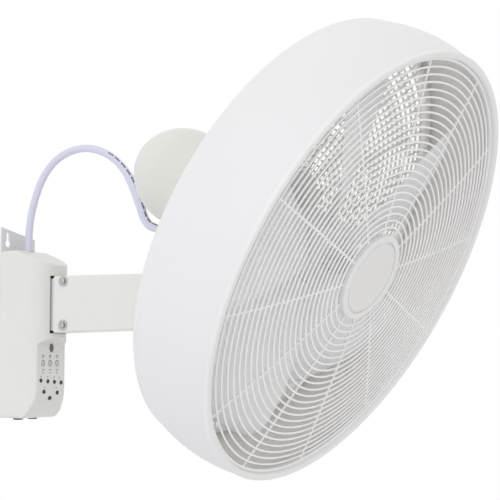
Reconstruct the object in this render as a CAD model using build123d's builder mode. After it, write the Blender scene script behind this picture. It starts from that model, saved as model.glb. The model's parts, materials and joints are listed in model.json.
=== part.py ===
"""Wall mounted fan: deep round head on a short arm, with a slim control box on the wall.

Millimetres. The origin lies on the back face of the wall plate, level with the arm's centre
line. +X points right as seen from the room, +Y into the wall and +Z up.
"""
from build123d import *
from math import atan2, cos, degrees, pi, radians, sin, sqrt
import os

os.makedirs("parts", exist_ok=True)

# ------------------------------------------------------------------ clearances
RUNNING = 0.05                  # radial play of a shaft in its bore
SLIP = 0.3                      # play of pieces that slide past or over each other
SHELL_WALL = 2.2                # moulded covers

# ------------------------------------------------------------------ wall plate
PLATE_WIDTH = 57.0
PLATE_THICKNESS = 2.0
PLATE_TOP_LEFT = 89.0
PLATE_TOP_RIGHT = 78.5
PLATE_BOTTOM = -114.0
KEYHOLE_X = 17.7
KEYHOLE_Z = 71.0                # centre of the wide end that passes a screw head
KEYHOLE_HEAD = 8.6
KEYHOLE_SLOT = 5.0
KEYHOLE_DROP = 10.6             # from the wide end up to the end of the narrow slot
LOWER_HOLE_Z = -100.0
LOWER_HOLE_RADIUS = 2.5

# ------------------------------------------------------------------ control box
BOX_WIDTH = 57.0
BOX_STRAIGHT = 38.0             # depth of the flat sides before the round front
BOX_TOP = 62.0
BOX_TOP_FLAT = 22.0             # depth of the level part of the top
BOX_TOP_SLOPE = 0.39            # fall per mm of the sloping part
BOX_SPLIT = -116.0              # cover above, base below
BOX_BOTTOM = -127.0
PANEL_FACE = 53.5               # depth of the flat panel below the arm
PANEL_TOP = -44.0
PANEL_SHOULDER = -35.0
PANEL_BOTTOM = -94.0            # the panel curves back towards the wall below here
PANEL_BULGE = (48.5, -112.0)
PANEL_FOOT = (34.0, -127.5)
LENS_Z = -48.5
LENS_WIDTH = 6.4
LENS_HEIGHT = 10.0
WINDOW_RADIUS = 2.3
WINDOW_PROUD = 0.4
WINDOWS = [                     # x, z and face depth of the seven indicator windows
    (-17.4, -84.9, PANEL_FACE), (-5.6, -85.9, PANEL_FACE), (5.8, -86.7, PANEL_FACE),
    (17.4, -87.6, PANEL_FACE), (-11.6, -97.4, PANEL_FACE - 0.2), (11.4, -98.8, PANEL_FACE - 0.3),
    (0.0, -104.6, PANEL_FACE - 1.3),
]
BUTTON_X = 12.2
BUTTON_Y = -16.4
BUTTON_RADIUS = 5.8
BUTTON_PROUD = 2.5
BUTTON_TRAVEL = 1.2
BUTTON_FLANGE = 1.5
BOARD_THICKNESS = 1.6
BOARD_DEPTH = 45.6              # face of the control board towards the wall
BOARD_WIDTH = 38.0
BOARD_TOP = -46.0
BOARD_BOTTOM = -100.0
BOARD_SCREW_X = 16.0
SWITCH_BOARD_Z = -112.0

# ------------------------------------------------------------------ arm
ARM_START = 67.5
ARM_END = 244.0
ARM_WIDTH = 28.0
ARM_HEIGHT = 64.0
ARM_END_HEIGHT = 58.6
ARM_WALL = 2.0
ARM_CORNER = 3.0
TONGUE_REACH = 104.0            # bracket on the wall plate that the arm slides over
TONGUE_HEIGHT = 58.4
ARM_SCREW_Y = 81.0
ARM_SCREW_Z = (25.5, -23.5)
SCREW_RADIUS = 2.0

# ------------------------------------------------------------------ tilt pivot and neck
PIVOT_REACH = 213.6
PIVOT_RISE = 16.8
TILT_REST = 28.2                # the head looks down by this angle at rest
BOLT_RADIUS = 4.0
TONGUE_HALF = 10.9              # half the width of the neck between the arm's walls
NECK_DEPTH = 22.0
COLLAR_RADIUS = 16.0
COLLAR_START = 31.0
COLLAR_TOP = 71.0
SHOULDER_RADIUS = 7.8
SHOULDER_HEIGHT = 5.0
STEM_RADIUS = 7.0
STEM_TOP = 105.2
AXIS_RISE = 114.0               # pivot to the fan's own axis
RING_AHEAD = 206.0              # swing axis to the front ring
LUG_REACH = 15.5
LUG_RADIUS = 4.5
LUG_THICKNESS = 4.0
LINK_THICKNESS = 2.0
LINK_EYE_RADIUS = 4.0
LINK_BAR_WIDTH = 5.0

# ------------------------------------------------------------------ cable
CABLE_DIAMETER = 8.5
GROMMET_RADIUS = 6.5
GROMMET_PROUD = 2.5
CABLE_EXIT_Y = -17.5
NECK_GLAND_Z = 49.0
NECK_GLAND_REACH = 20.0
# control points of the free cable, as (x, y, z), from the box to the neck
CABLE_ROUTE = [
    (0.0, -17.5, 64.5), (0.0, -17.5, 92.0), (0.0, -25.0, 121.0), (0.0, -38.0, 149.5),
    (0.0, -61.5, 170.5), (0.0, -98.0, 178.0), (0.0, -133.0, 166.5), (0.0, -157.5, 145.0),
    (0.0, -173.5, 113.0), (0.0, -183.5, 84.2),
]
CABLE_LAST_RUN = 18.0           # straight out of the neck's gland

# ------------------------------------------------------------------ swing drive
SWING_CENTRE = 45.0             # swing axis to the crank's axis
SWING_MOTOR_RADIUS = 20.0
SWING_MOTOR_HEIGHT = 16.0
CRANK_RADIUS = 15.0
CRANK_THROW = 9.2
PIN_RADIUS = 2.4
BOSS_RADIUS = 12.5
FRAME_PLATE = 3.0

# ------------------------------------------------------------------ motor and its covers
SHAFT_RADIUS = 4.0
MOTOR_RADIUS = 43.0
MOTOR_WALL = 3.0
SHIELD_FRONT = 113.5            # face of the front shield, behind the front ring
CORE_FRONT = 140.0
CORE_LENGTH = 27.0
SHIELD_REAR = 191.0
CORE_BORE = 23.0
AIR_GAP = 0.4
MOTOR_BOLT_CIRCLE = 38.5
NOSE_RADIUS = 14.0
NOSE_LENGTH = 10.0
BEARING_RADIUS = 8.0
COVER_RADIUS = 52.5
COVER_DROP = 2.5                # the covers sit this much below the fan's axis
COVER_SPLIT = 180.0
DOME_START = 240.3
DOME_LENGTH = 59.5
DOME_NOSE_RADIUS = 46.0

# ------------------------------------------------------------------ drum and front ring
RING_RADIUS = 230.0
RING_INNER = 223.0
RING_DEPTH = 5.2
DRUM_BULGE = 235.7
DRUM_REAR_RADIUS = 230.8
DRUM_DEPTH = 95.5
DRUM_WALL = 2.5
DRUM_LIP_RADIUS = 222.5         # opening left by the rolled rear edge

# ------------------------------------------------------------------ front grille
GRILLE_RIM_DEPTH = 5.9
GRILLE_RISE = 10.0
GRILLE_PITCH = 7.3
GRILLE_WIRE = 2.2
FRONT_RINGS = 23
FRONT_SPOKES = 12
SPOKE_PHASE = 15.0
BADGE_RADIUS = 45.0
BADGE_HEIGHT = 3.6

# ------------------------------------------------------------------ rear grille
REAR_EDGE = 85.5                # depth of the mesh at its outer edge
REAR_DOME = 25.5
REAR_FRAME_INNER = 219.0
REAR_PITCH = 8.3
REAR_RINGS = 18
REAR_SPOKES = 15
REAR_SPOKE_PHASE = 41.7
REAR_HUB_RADIUS = 60.0
DRUM_SCREWS = 8

# ------------------------------------------------------------------ impeller
BLADES = 5
BLADE_PHASE = 25.0
BLADE_THICKNESS = 2.4
BLADE_CAMBER = 0.055            # height of a blade's arch as a share of its chord
BLADE_MIDDLE = 60.0             # depth of the blades' middle behind the front ring
HUB_RADIUS = 36.0
HUB_FRONT = 40.0
HUB_REAR = 84.0
HUB_WALL = 2.5
# radius, chord, pitch angle and sweep of each blade section, from the hub to the tip
BLADE_SECTIONS = [
    (HUB_RADIUS - 1.5, 56.0, 38.0, 0.0),
    (80.0, 102.0, 28.5, 2.0),
    (130.0, 145.0, 21.0, 5.0),
    (170.0, 156.0, 19.0, 8.0),
    (190.0, 130.0, 18.5, 10.0),
    (198.0, 84.0, 18.0, 11.0),
]

# ------------------------------------------------------------------ working planes
tilt = radians(TILT_REST)
pivot = Vector(0, -PIVOT_REACH, PIVOT_RISE)
right = Vector(1, 0, 0)
swing_up = Vector(0, -sin(tilt), cos(tilt))
backward = Vector(0, cos(tilt), sin(tilt))
forward = -backward

# NECK: z up along the swing axis, y backward. NECK_SIDE: x backward, y up, seen from the side.
NECK = Plane(origin=pivot, x_dir=right, z_dir=swing_up)
NECK_SIDE = Plane(origin=pivot, x_dir=backward, z_dir=right)
ring_centre = pivot + swing_up * AXIS_RISE + forward * RING_AHEAD
# HEAD: z forward along the fan's axis, y up. Everything behind the front ring has negative z.
HEAD = Plane(origin=ring_centre, x_dir=right, z_dir=forward)
HEAD_AXIS = Axis(ring_centre, forward)
PROFILE = Plane(origin=ring_centre, x_dir=swing_up, z_dir=right)
cover_centre = ring_centre - swing_up * COVER_DROP
COVER_PROFILE = Plane(origin=cover_centre, x_dir=swing_up, z_dir=right)
COVER_AXIS = Axis(cover_centre, forward)


def across(depth):
    """Plane square to the fan's axis, this far behind the front ring."""
    return HEAD.offset(-depth)


def radial_plane(angle, radius=0.0, depth=0.0):
    """Plane through the fan's axis: x outward at this angle, y forward."""
    outward = right * cos(radians(angle)) + swing_up * sin(radians(angle))
    sideways = outward.cross(forward)
    return Plane(ring_centre + outward * radius - forward * depth, x_dir=outward, z_dir=sideways)


def section_plane(angle, radius, depth, lean=0.0):
    """Plane square to a radius of the fan: x along the turn, leant forward, and y forward."""
    outward = right * cos(radians(angle)) + swing_up * sin(radians(angle))
    along = swing_up * cos(radians(angle)) - right * sin(radians(angle))
    across_chord = along * cos(radians(lean)) + forward * sin(radians(lean))
    middle = ring_centre + outward * radius - forward * depth
    return Plane(middle, x_dir=across_chord, z_dir=outward)


def finish(piece, node):
    """Label a finished piece and write it under its node name."""
    piece.part.label = node
    export_step(piece.part, f"parts/{node}.step")


# ================================================================== wall plate and arm bracket
with BuildPart() as wall_plate:
    with BuildSketch(Plane.XZ):
        with BuildLine():
            Polyline(
                (-PLATE_WIDTH / 2, PLATE_BOTTOM), (PLATE_WIDTH / 2, PLATE_BOTTOM),
                (PLATE_WIDTH / 2, PLATE_TOP_RIGHT), (-PLATE_WIDTH / 2, PLATE_TOP_LEFT), close=True,
            )
        make_face()
        with Locations((-KEYHOLE_X, KEYHOLE_Z), (KEYHOLE_X, KEYHOLE_Z)):
            Circle(KEYHOLE_HEAD / 2, mode=Mode.SUBTRACT)
        slot_z = KEYHOLE_Z + KEYHOLE_DROP / 2
        with Locations((-KEYHOLE_X, slot_z), (KEYHOLE_X, slot_z)):
            SlotCenterToCenter(KEYHOLE_DROP, KEYHOLE_SLOT, rotation=90, mode=Mode.SUBTRACT)
        with Locations((-KEYHOLE_X, LOWER_HOLE_Z), (KEYHOLE_X, LOWER_HOLE_Z)):
            Circle(LOWER_HOLE_RADIUS, mode=Mode.SUBTRACT)
    extrude(amount=PLATE_THICKNESS)
    # bent foot that the base of the box is screwed to
    with BuildSketch(Plane.XY.offset(PLATE_BOTTOM)):
        with Locations((0, -PLATE_THICKNESS - 7)):
            Rectangle(16, 14)
            Circle(SCREW_RADIUS, mode=Mode.SUBTRACT)
    extrude(amount=PLATE_THICKNESS)
finish(wall_plate, "wall_plate")

tongue_width = ARM_WIDTH - 2 * ARM_WALL - 2 * SLIP
with BuildPart() as arm_bracket:
    with BuildSketch(Plane.XZ.offset(PLATE_THICKNESS)):
        Rectangle(tongue_width, TONGUE_HEIGHT)
        Rectangle(tongue_width - 2 * ARM_WALL, TONGUE_HEIGHT - 2 * ARM_WALL, mode=Mode.SUBTRACT)
    extrude(amount=TONGUE_REACH - PLATE_THICKNESS)
    with BuildSketch(Plane.YZ):
        with Locations(*[(-ARM_SCREW_Y, z) for z in ARM_SCREW_Z]):
            Circle(SCREW_RADIUS + RUNNING)
    extrude(amount=ARM_WIDTH, both=True, mode=Mode.SUBTRACT)
finish(arm_bracket, "arm_bracket")


# ================================================================== arm
def arm_outline(inset):
    """Corners of the tapering arm seen from the side, drawn in by the inset."""
    return [
        (-ARM_START, ARM_HEIGHT / 2 - inset), (-ARM_END, ARM_END_HEIGHT / 2 - inset),
        (-ARM_END, -ARM_END_HEIGHT / 2 + inset), (-ARM_START, -ARM_HEIGHT / 2 + inset),
    ]


slot_start = PIVOT_REACH - COLLAR_RADIUS - 1.5
with BuildPart() as arm:
    with BuildSketch(Plane.YZ):
        with BuildLine():
            Polyline(*arm_outline(0), close=True)
        make_face()
    extrude(amount=ARM_WIDTH / 2, both=True)
    fillet(arm.edges().filter_by(lambda edge: abs(edge.tangent_at(0.5).Y) > 0.9), ARM_CORNER)
    with BuildSketch(Plane.YZ):
        with BuildLine():
            Polyline(*arm_outline(ARM_WALL), close=True)
        make_face()
    extrude(amount=ARM_WIDTH / 2 - ARM_WALL, both=True, mode=Mode.SUBTRACT)
    # open top near the front end, for the neck
    with BuildSketch(Plane.XY):
        with Locations((0, -(slot_start + ARM_END) / 2)):
            Rectangle(ARM_WIDTH - 2 * ARM_WALL, ARM_END - slot_start)
    extrude(amount=ARM_HEIGHT, mode=Mode.SUBTRACT)
    with BuildSketch(Plane.YZ):
        with Locations(*[(-ARM_SCREW_Y, z) for z in ARM_SCREW_Z]):
            Circle(SCREW_RADIUS + SLIP)
        with Locations((-PIVOT_REACH, PIVOT_RISE)):
            Circle(BOLT_RADIUS + RUNNING)
    extrude(amount=ARM_WIDTH, both=True, mode=Mode.SUBTRACT)
finish(arm, "arm")

CAP_THICKNESS = 2.0
CAP_LIP = 6.0
with BuildPart() as arm_end_cap:
    with BuildSketch(Plane.XZ.offset(ARM_END)):
        RectangleRounded(ARM_WIDTH, ARM_END_HEIGHT, ARM_CORNER)
    extrude(amount=CAP_THICKNESS)
    lip_width = ARM_WIDTH - 2 * ARM_WALL - SLIP
    lip_height = ARM_END_HEIGHT - 2 * ARM_WALL - SLIP
    with BuildSketch(Plane.XZ.offset(ARM_END)):
        Rectangle(lip_width, lip_height)
        Rectangle(lip_width - 2 * ARM_WALL, lip_height - 2 * ARM_WALL, mode=Mode.SUBTRACT)
        with Locations((0, lip_height / 2)):
            Rectangle(lip_width, lip_height / 2, mode=Mode.SUBTRACT)
    extrude(amount=-CAP_LIP)
    fillet(arm_end_cap.faces().sort_by(Axis.Y)[0].edges(), 1.2)
finish(arm_end_cap, "arm_end_cap")

WASHER_RADIUS = 6.0
WASHER_THICKNESS = 1.0
with BuildPart() as arm_washers:
    for side in (-1, 1):
        with BuildSketch(Plane.YZ.offset(side * ARM_WIDTH / 2)):
            with Locations(*[(-ARM_SCREW_Y, z) for z in ARM_SCREW_Z]):
                Circle(WASHER_RADIUS)
                Circle(SCREW_RADIUS + SLIP, mode=Mode.SUBTRACT)
        extrude(amount=side * WASHER_THICKNESS)
finish(arm_washers, "arm_washers")

PAN_RADIUS = 4.6
PAN_HEIGHT = 2.8
with BuildPart() as arm_screws:
    for side in (-1, 1):
        seat = side * (ARM_WIDTH / 2 + WASHER_THICKNESS)
        with BuildSketch(Plane.YZ.offset(seat)):
            with Locations(*[(-ARM_SCREW_Y, z) for z in ARM_SCREW_Z]):
                Circle(PAN_RADIUS)
        extrude(amount=side * PAN_HEIGHT)
        crowns = arm_screws.faces().filter_by(Axis.X).group_by(Axis.X)[-1 if side > 0 else 0]
        fillet(crowns.edges(), 1.6)
        with BuildSketch(Plane.YZ.offset(seat)):
            with Locations(*[(-ARM_SCREW_Y, z) for z in ARM_SCREW_Z]):
                Circle(SCREW_RADIUS)
        extrude(amount=-side * 7.0)
finish(arm_screws, "arm_screws")


# ================================================================== control box
def box_form(inset, top, bottom):
    """Solid of the box with its sides, front and panel drawn in by the inset."""
    half = BOX_WIDTH / 2 - inset
    with BuildPart() as form:
        with BuildSketch(Plane.XY.offset(bottom)):
            with BuildLine():
                Polyline((-half, -BOX_STRAIGHT), (-half, -PLATE_THICKNESS), (half, -PLATE_THICKNESS),
                         (half, -BOX_STRAIGHT))
                ThreePointArc((half, -BOX_STRAIGHT), (0, -BOX_STRAIGHT - half),
                              (-half, -BOX_STRAIGHT))
            make_face()
        extrude(amount=top - bottom)
        # sloping top
        with BuildSketch(Plane.YZ):
            with BuildLine():
                Polyline(
                    (-BOX_TOP_FLAT, BOX_TOP - inset),
                    (-2 * BOX_WIDTH, BOX_TOP - inset - BOX_TOP_SLOPE * (2 * BOX_WIDTH - BOX_TOP_FLAT)),
                    (-2 * BOX_WIDTH, 2 * BOX_TOP), (-BOX_TOP_FLAT, 2 * BOX_TOP), close=True,
                )
            make_face()
        extrude(amount=BOX_WIDTH, both=True, mode=Mode.SUBTRACT)
        # flat panel below the arm, curving back to the wall at its foot
        with BuildSketch(Plane.YZ):
            with BuildLine():
                Polyline((-PANEL_FACE + inset, PANEL_BOTTOM), (-PANEL_FACE + inset, PANEL_TOP + inset),
                         (-PANEL_FACE - 15 + inset, PANEL_SHOULDER + inset),
                         (-2 * BOX_WIDTH, PANEL_SHOULDER + inset),
                         (-2 * BOX_WIDTH, 2 * BOX_BOTTOM), (-PANEL_FOOT[0] + inset, 2 * BOX_BOTTOM),
                         (-PANEL_FOOT[0] + inset, PANEL_FOOT[1]))
                ThreePointArc((-PANEL_FOOT[0] + inset, PANEL_FOOT[1]),
                              (-PANEL_BULGE[0] + inset, PANEL_BULGE[1]),
                              (-PANEL_FACE + inset, PANEL_BOTTOM))
            make_face()
        extrude(amount=BOX_WIDTH, both=True, mode=Mode.SUBTRACT)
    return form.part


cover_solid = box_form(0, BOX_TOP, BOX_SPLIT)
cover_hollow = box_form(SHELL_WALL, BOX_TOP - SHELL_WALL, BOX_SPLIT)
with BuildPart() as box_cover:
    add(cover_solid)
    panel_edges = box_cover.edges().filter_by(
        lambda edge: edge.center().Y < -BOX_STRAIGHT and abs(edge.tangent_at(0.5).Z) > 0.7
        and edge.center().Z < PANEL_TOP and abs(edge.center().X) > 10)
    fillet(panel_edges, 3.0)
    rim = box_cover.edges().filter_by(
        lambda edge: edge.center().Z > 40 and edge.center().Y < -PLATE_THICKNESS - 1
        and not edge.is_closed)
    fillet([edge for edge in rim if abs(edge.tangent_at(0.5).X) < 0.98 or edge.center().Y < -60], 3.5)
    add(cover_hollow, mode=Mode.SUBTRACT)
    # way out for the arm
    with BuildSketch(Plane.XZ.offset(BOX_STRAIGHT)):
        Rectangle(ARM_WIDTH + 2 * SLIP, ARM_HEIGHT + 2 * SLIP)
    extrude(amount=2 * BOX_WIDTH, mode=Mode.SUBTRACT)
    # cable hole in the level top
    with BuildSketch(Plane.XY.offset(BOX_TOP)):
        with Locations((0, CABLE_EXIT_Y)):
            Circle(GROMMET_RADIUS - 1.5)
    extrude(amount=-2 * SHELL_WALL, mode=Mode.SUBTRACT)
    # lens and indicator windows
    with BuildSketch(Plane.XZ.offset(PANEL_FACE - 2 * SHELL_WALL)):
        with Locations((0, LENS_Z)):
            Ellipse(LENS_WIDTH / 2 + RUNNING, LENS_HEIGHT / 2 + RUNNING)
        with Locations(*[(x, z) for x, z, depth in WINDOWS]):
            Circle(WINDOW_RADIUS + RUNNING)
    extrude(amount=3 * SHELL_WALL, mode=Mode.SUBTRACT)
    # posts for the control board
    board_screw_z = (BOARD_TOP - 5, BOARD_BOTTOM + 5.5)
    with BuildSketch(Plane.XZ.offset(BOARD_DEPTH + BOARD_THICKNESS)):
        with Locations(*[(x, z) for x in (-BOARD_SCREW_X, BOARD_SCREW_X) for z in board_screw_z]):
            Circle(2.6)
            Circle(1.3, mode=Mode.SUBTRACT)
    extrude(amount=PANEL_FACE - SHELL_WALL / 2 - BOARD_DEPTH - BOARD_THICKNESS)
finish(box_cover, "box_cover")

base_solid = box_form(0, BOX_SPLIT, BOX_BOTTOM)
base_hollow = box_form(SHELL_WALL, BOX_SPLIT, BOX_BOTTOM + SHELL_WALL)
with BuildPart() as box_base:
    add(base_solid)
    fillet(box_base.faces().sort_by(Axis.Z)[0].edges().filter_by(
        lambda edge: edge.center().Y < -PLATE_THICKNESS - 1), 4.0)
    add(base_hollow, mode=Mode.SUBTRACT)
    with BuildSketch(Plane.XY.offset(BOX_BOTTOM)):
        with Locations((-BUTTON_X, BUTTON_Y), (BUTTON_X, BUTTON_Y)):
            Circle(BUTTON_RADIUS + SLIP)
        with Locations((0, -PLATE_THICKNESS - 7)):
            Circle(SCREW_RADIUS + SLIP)
    extrude(amount=2 * SHELL_WALL, mode=Mode.SUBTRACT)
    # post up to the foot of the wall plate
    with BuildSketch(Plane.XY.offset(BOX_BOTTOM + SHELL_WALL)):
        with Locations((0, -PLATE_THICKNESS - 7)):
            Circle(4.0)
            Circle(SCREW_RADIUS + SLIP, mode=Mode.SUBTRACT)
    extrude(amount=PLATE_BOTTOM - BOX_BOTTOM - SHELL_WALL)
finish(box_base, "box_base")

with BuildPart() as base_screw:
    with BuildSketch(Plane.XY.offset(BOX_BOTTOM)):
        with Locations((0, -PLATE_THICKNESS - 7)):
            Circle(PAN_RADIUS - 0.6)
    extrude(amount=-1.6)
    fillet(base_screw.faces().sort_by(Axis.Z)[0].edges(), 0.8)
    with BuildSketch(Plane.XY.offset(BOX_BOTTOM)):
        with Locations((0, -PLATE_THICKNESS - 7)):
            Circle(SCREW_RADIUS - RUNNING)
    extrude(amount=PLATE_BOTTOM + PLATE_THICKNESS + 2 - BOX_BOTTOM)
finish(base_screw, "base_screw")

with BuildPart() as box_grommet:
    with BuildSketch(Plane.XY.offset(BOX_TOP)):
        with Locations((0, CABLE_EXIT_Y)):
            Circle(GROMMET_RADIUS)
    extrude(amount=GROMMET_PROUD)
    fillet(box_grommet.faces().sort_by(Axis.Z)[-1].edges(), 0.8)
    with BuildSketch(Plane.XY.offset(BOX_TOP)):
        with Locations((0, CABLE_EXIT_Y)):
            Circle(GROMMET_RADIUS - 1.5 - RUNNING)
    extrude(amount=-SHELL_WALL - 1.0)
finish(box_grommet, "box_grommet")

with BuildPart() as ir_lens:
    with BuildSketch(Plane.XZ.offset(PANEL_FACE - SHELL_WALL)):
        with Locations((0, LENS_Z)):
            Ellipse(LENS_WIDTH / 2, LENS_HEIGHT / 2)
    extrude(amount=SHELL_WALL + 0.8)
    fillet(ir_lens.faces().sort_by(Axis.Y)[0].edges(), 0.6)
finish(ir_lens, "ir_lens")

with BuildPart() as indicator_windows:
    for x, z, depth in WINDOWS:
        with BuildSketch(Plane.XZ.offset(depth - SHELL_WALL)):
            with Locations((x, z)):
                Circle(WINDOW_RADIUS)
        extrude(amount=SHELL_WALL + WINDOW_PROUD)
finish(indicator_windows, "indicator_windows")

# ------------------------------------------------------------------ electronics in the box
with BuildPart() as control_board:
    with BuildSketch(Plane.XZ.offset(BOARD_DEPTH)):
        with Locations((0, (BOARD_TOP + BOARD_BOTTOM) / 2)):
            Rectangle(BOARD_WIDTH, BOARD_TOP - BOARD_BOTTOM)
        with Locations(*[(x, z) for x in (-BOARD_SCREW_X, BOARD_SCREW_X) for z in board_screw_z]):
            Circle(1.5, mode=Mode.SUBTRACT)
    extrude(amount=BOARD_THICKNESS)
finish(control_board, "control_board")

with BuildPart() as board_screws:
    with BuildSketch(Plane.XZ.offset(BOARD_DEPTH)):
        with Locations(*[(x, z) for x in (-BOARD_SCREW_X, BOARD_SCREW_X) for z in board_screw_z]):
            Circle(2.5)
    extrude(amount=-1.5)
    with BuildSketch(Plane.XZ.offset(BOARD_DEPTH)):
        with Locations(*[(x, z) for x in (-BOARD_SCREW_X, BOARD_SCREW_X) for z in board_screw_z]):
            Circle(1.25)
    extrude(amount=BOARD_THICKNESS + 3.0)
finish(board_screws, "board_screws")

LED_RADIUS = 1.5
board_front = BOARD_DEPTH + BOARD_THICKNESS
with BuildPart() as leds:
    for x, z, depth in WINDOWS[:6]:
        with BuildSketch(Plane.XZ.offset(board_front)):
            with Locations((x, z)):
                Circle(LED_RADIUS)
        extrude(amount=depth - SHELL_WALL - 0.5 - board_front)
finish(leds, "leds")

with BuildPart() as ir_receiver:
    with BuildSketch(Plane.XZ.offset(board_front)):
        with Locations((0, LENS_Z - 0.5)):
            Rectangle(5.5, 4.0)
    extrude(amount=PANEL_FACE - SHELL_WALL - 0.5 - board_front)
finish(ir_receiver, "ir_receiver")

with BuildPart() as relays:
    with BuildSketch(Plane.XZ.offset(BOARD_DEPTH)):
        with GridLocations(19, 0, 2, 1):
            with Locations((0, -66)):
                Rectangle(12, 16)
    extrude(amount=-11)
finish(relays, "relays")

with BuildPart() as motor_capacitor:
    with BuildSketch(Plane.XZ.offset(BOARD_DEPTH)):
        with Locations((0, -84)):
            RectangleRounded(30, 13, 2)
    extrude(amount=-19)
finish(motor_capacitor, "motor_capacitor")

with BuildPart() as terminal_block:
    with BuildSketch(Plane.XZ.offset(PLATE_THICKNESS)):
        with Locations((0, -78)):
            Rectangle(40, 12)
    extrude(amount=12)
    with BuildSketch(Plane.XZ.offset(PLATE_THICKNESS + 12)):
        with GridLocations(8, 0, 5, 1):
            with Locations((0, -78)):
                Circle(2.2)
    extrude(amount=-8, mode=Mode.SUBTRACT)
finish(terminal_block, "terminal_block")

SWITCH_HEIGHT = 3.6
with BuildPart() as switch_board:
    with BuildSketch(Plane.XY.offset(SWITCH_BOARD_Z)):
        with Locations((0, BUTTON_Y - 2)):
            Rectangle(BOX_WIDTH - 2 * SHELL_WALL - 1, 12)
    extrude(amount=BOARD_THICKNESS)
    # two legs down to the floor of the base
    with BuildSketch(Plane.XY.offset(SWITCH_BOARD_Z)):
        with Locations((-22.6, BUTTON_Y - 1), (22.6, BUTTON_Y - 1)):
            Rectangle(3, 8)
    extrude(amount=BOX_BOTTOM + SHELL_WALL - SWITCH_BOARD_Z)
finish(switch_board, "switch_board")

with BuildPart() as tact_switches:
    with BuildSketch(Plane.XY.offset(SWITCH_BOARD_Z)):
        with Locations((-BUTTON_X, BUTTON_Y), (BUTTON_X, BUTTON_Y)):
            Rectangle(6, 6)
    extrude(amount=-SWITCH_HEIGHT)
finish(tact_switches, "tact_switches")

button_stem_top = SWITCH_BOARD_Z - SWITCH_HEIGHT - BUTTON_TRAVEL - 0.2
for node, side in (("power_button", -1), ("mode_button", 1)):
    with BuildPart() as button:
        with BuildSketch(Plane.XY.offset(BOX_BOTTOM - BUTTON_PROUD)):
            with Locations((side * BUTTON_X, BUTTON_Y)):
                Circle(BUTTON_RADIUS)
        extrude(amount=BUTTON_PROUD + SHELL_WALL + SLIP / 2)
        fillet(button.faces().sort_by(Axis.Z)[0].edges(), 1.8)
        with BuildSketch(Plane.XY.offset(BOX_BOTTOM + SHELL_WALL + SLIP / 2)):
            with Locations((side * BUTTON_X, BUTTON_Y)):
                Circle(BUTTON_RADIUS + BUTTON_FLANGE)
        extrude(amount=1.4)
        with BuildSketch(Plane.XY.offset(BOX_BOTTOM + SHELL_WALL + SLIP / 2)):
            with Locations((side * BUTTON_X, BUTTON_Y)):
                Circle(2.5)
        extrude(amount=button_stem_top - BOX_BOTTOM - SHELL_WALL - SLIP / 2)
    finish(button, node)

# ================================================================== neck and tilt pivot
collar_height = COLLAR_TOP - COLLAR_START
with BuildPart() as neck:
    # flat tongue between the arm's walls, round about the pivot
    with BuildSketch(NECK_SIDE):
        Circle(NECK_DEPTH / 2)
        with Locations((0, COLLAR_START / 2 + 1)):
            Rectangle(NECK_DEPTH, COLLAR_START + 2)
        Circle(BOLT_RADIUS + RUNNING, mode=Mode.SUBTRACT)
    extrude(amount=TONGUE_HALF, both=True)
    with BuildSketch(NECK.offset(COLLAR_START)):
        Circle(COLLAR_RADIUS)
    extrude(amount=collar_height)
    collar_top_edge = neck.edges().filter_by(GeomType.CIRCLE).sort_by(Axis(pivot, swing_up))[-1]
    fillet(collar_top_edge, 1.0)
    with BuildSketch(NECK.offset(COLLAR_TOP - 2)):
        Circle(SHOULDER_RADIUS)
    extrude(amount=SHOULDER_HEIGHT + 2)
    with BuildSketch(NECK.offset(COLLAR_TOP)):
        Circle(STEM_RADIUS)
    extrude(amount=STEM_TOP - COLLAR_TOP)
    # lug that holds the swing link
    with BuildSketch(NECK.offset(COLLAR_TOP - LUG_THICKNESS)):
        with Locations((LUG_REACH / 2, 0)):
            Rectangle(LUG_REACH, 2 * LUG_RADIUS)
        with Locations((LUG_REACH, 0)):
            Circle(LUG_RADIUS)
    extrude(amount=LUG_THICKNESS)
    # the rivet's hole, partly in the collar
    with BuildSketch(NECK.offset(COLLAR_TOP - LUG_THICKNESS)):
        with Locations((LUG_REACH, 0)):
            Circle(PIN_RADIUS)
    extrude(amount=LUG_THICKNESS, mode=Mode.SUBTRACT)
    # seat of the cable gland and the screw hole in the stem
    gland_seat = Plane(pivot + swing_up * NECK_GLAND_Z, x_dir=right, z_dir=backward)
    with BuildSketch(gland_seat):
        Circle(GROMMET_RADIUS)
    extrude(amount=NECK_GLAND_REACH - GROMMET_PROUD)
    with BuildSketch(NECK.offset(STEM_TOP)):
        Circle(SCREW_RADIUS + RUNNING)
    extrude(amount=-16, mode=Mode.SUBTRACT)
finish(neck, "neck")

with BuildPart() as neck_grommet:
    with BuildSketch(gland_seat.offset(NECK_GLAND_REACH - GROMMET_PROUD)):
        Circle(GROMMET_RADIUS)
    extrude(amount=GROMMET_PROUD)
    fillet(neck_grommet.edges().sort_by(Axis(pivot, backward))[-1], 0.8)
finish(neck_grommet, "neck_grommet")

with BuildPart() as tilt_washers:
    for side in (-1, 1):
        with BuildSketch(Plane.YZ.offset(side * (ARM_WIDTH / 2 - ARM_WALL))):
            with Locations((-PIVOT_REACH, PIVOT_RISE)):
                Circle(9.0)
                Circle(BOLT_RADIUS + RUNNING, mode=Mode.SUBTRACT)
        extrude(amount=-side * (ARM_WIDTH / 2 - ARM_WALL - TONGUE_HALF - 0.1))
finish(tilt_washers, "tilt_washers")

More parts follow.
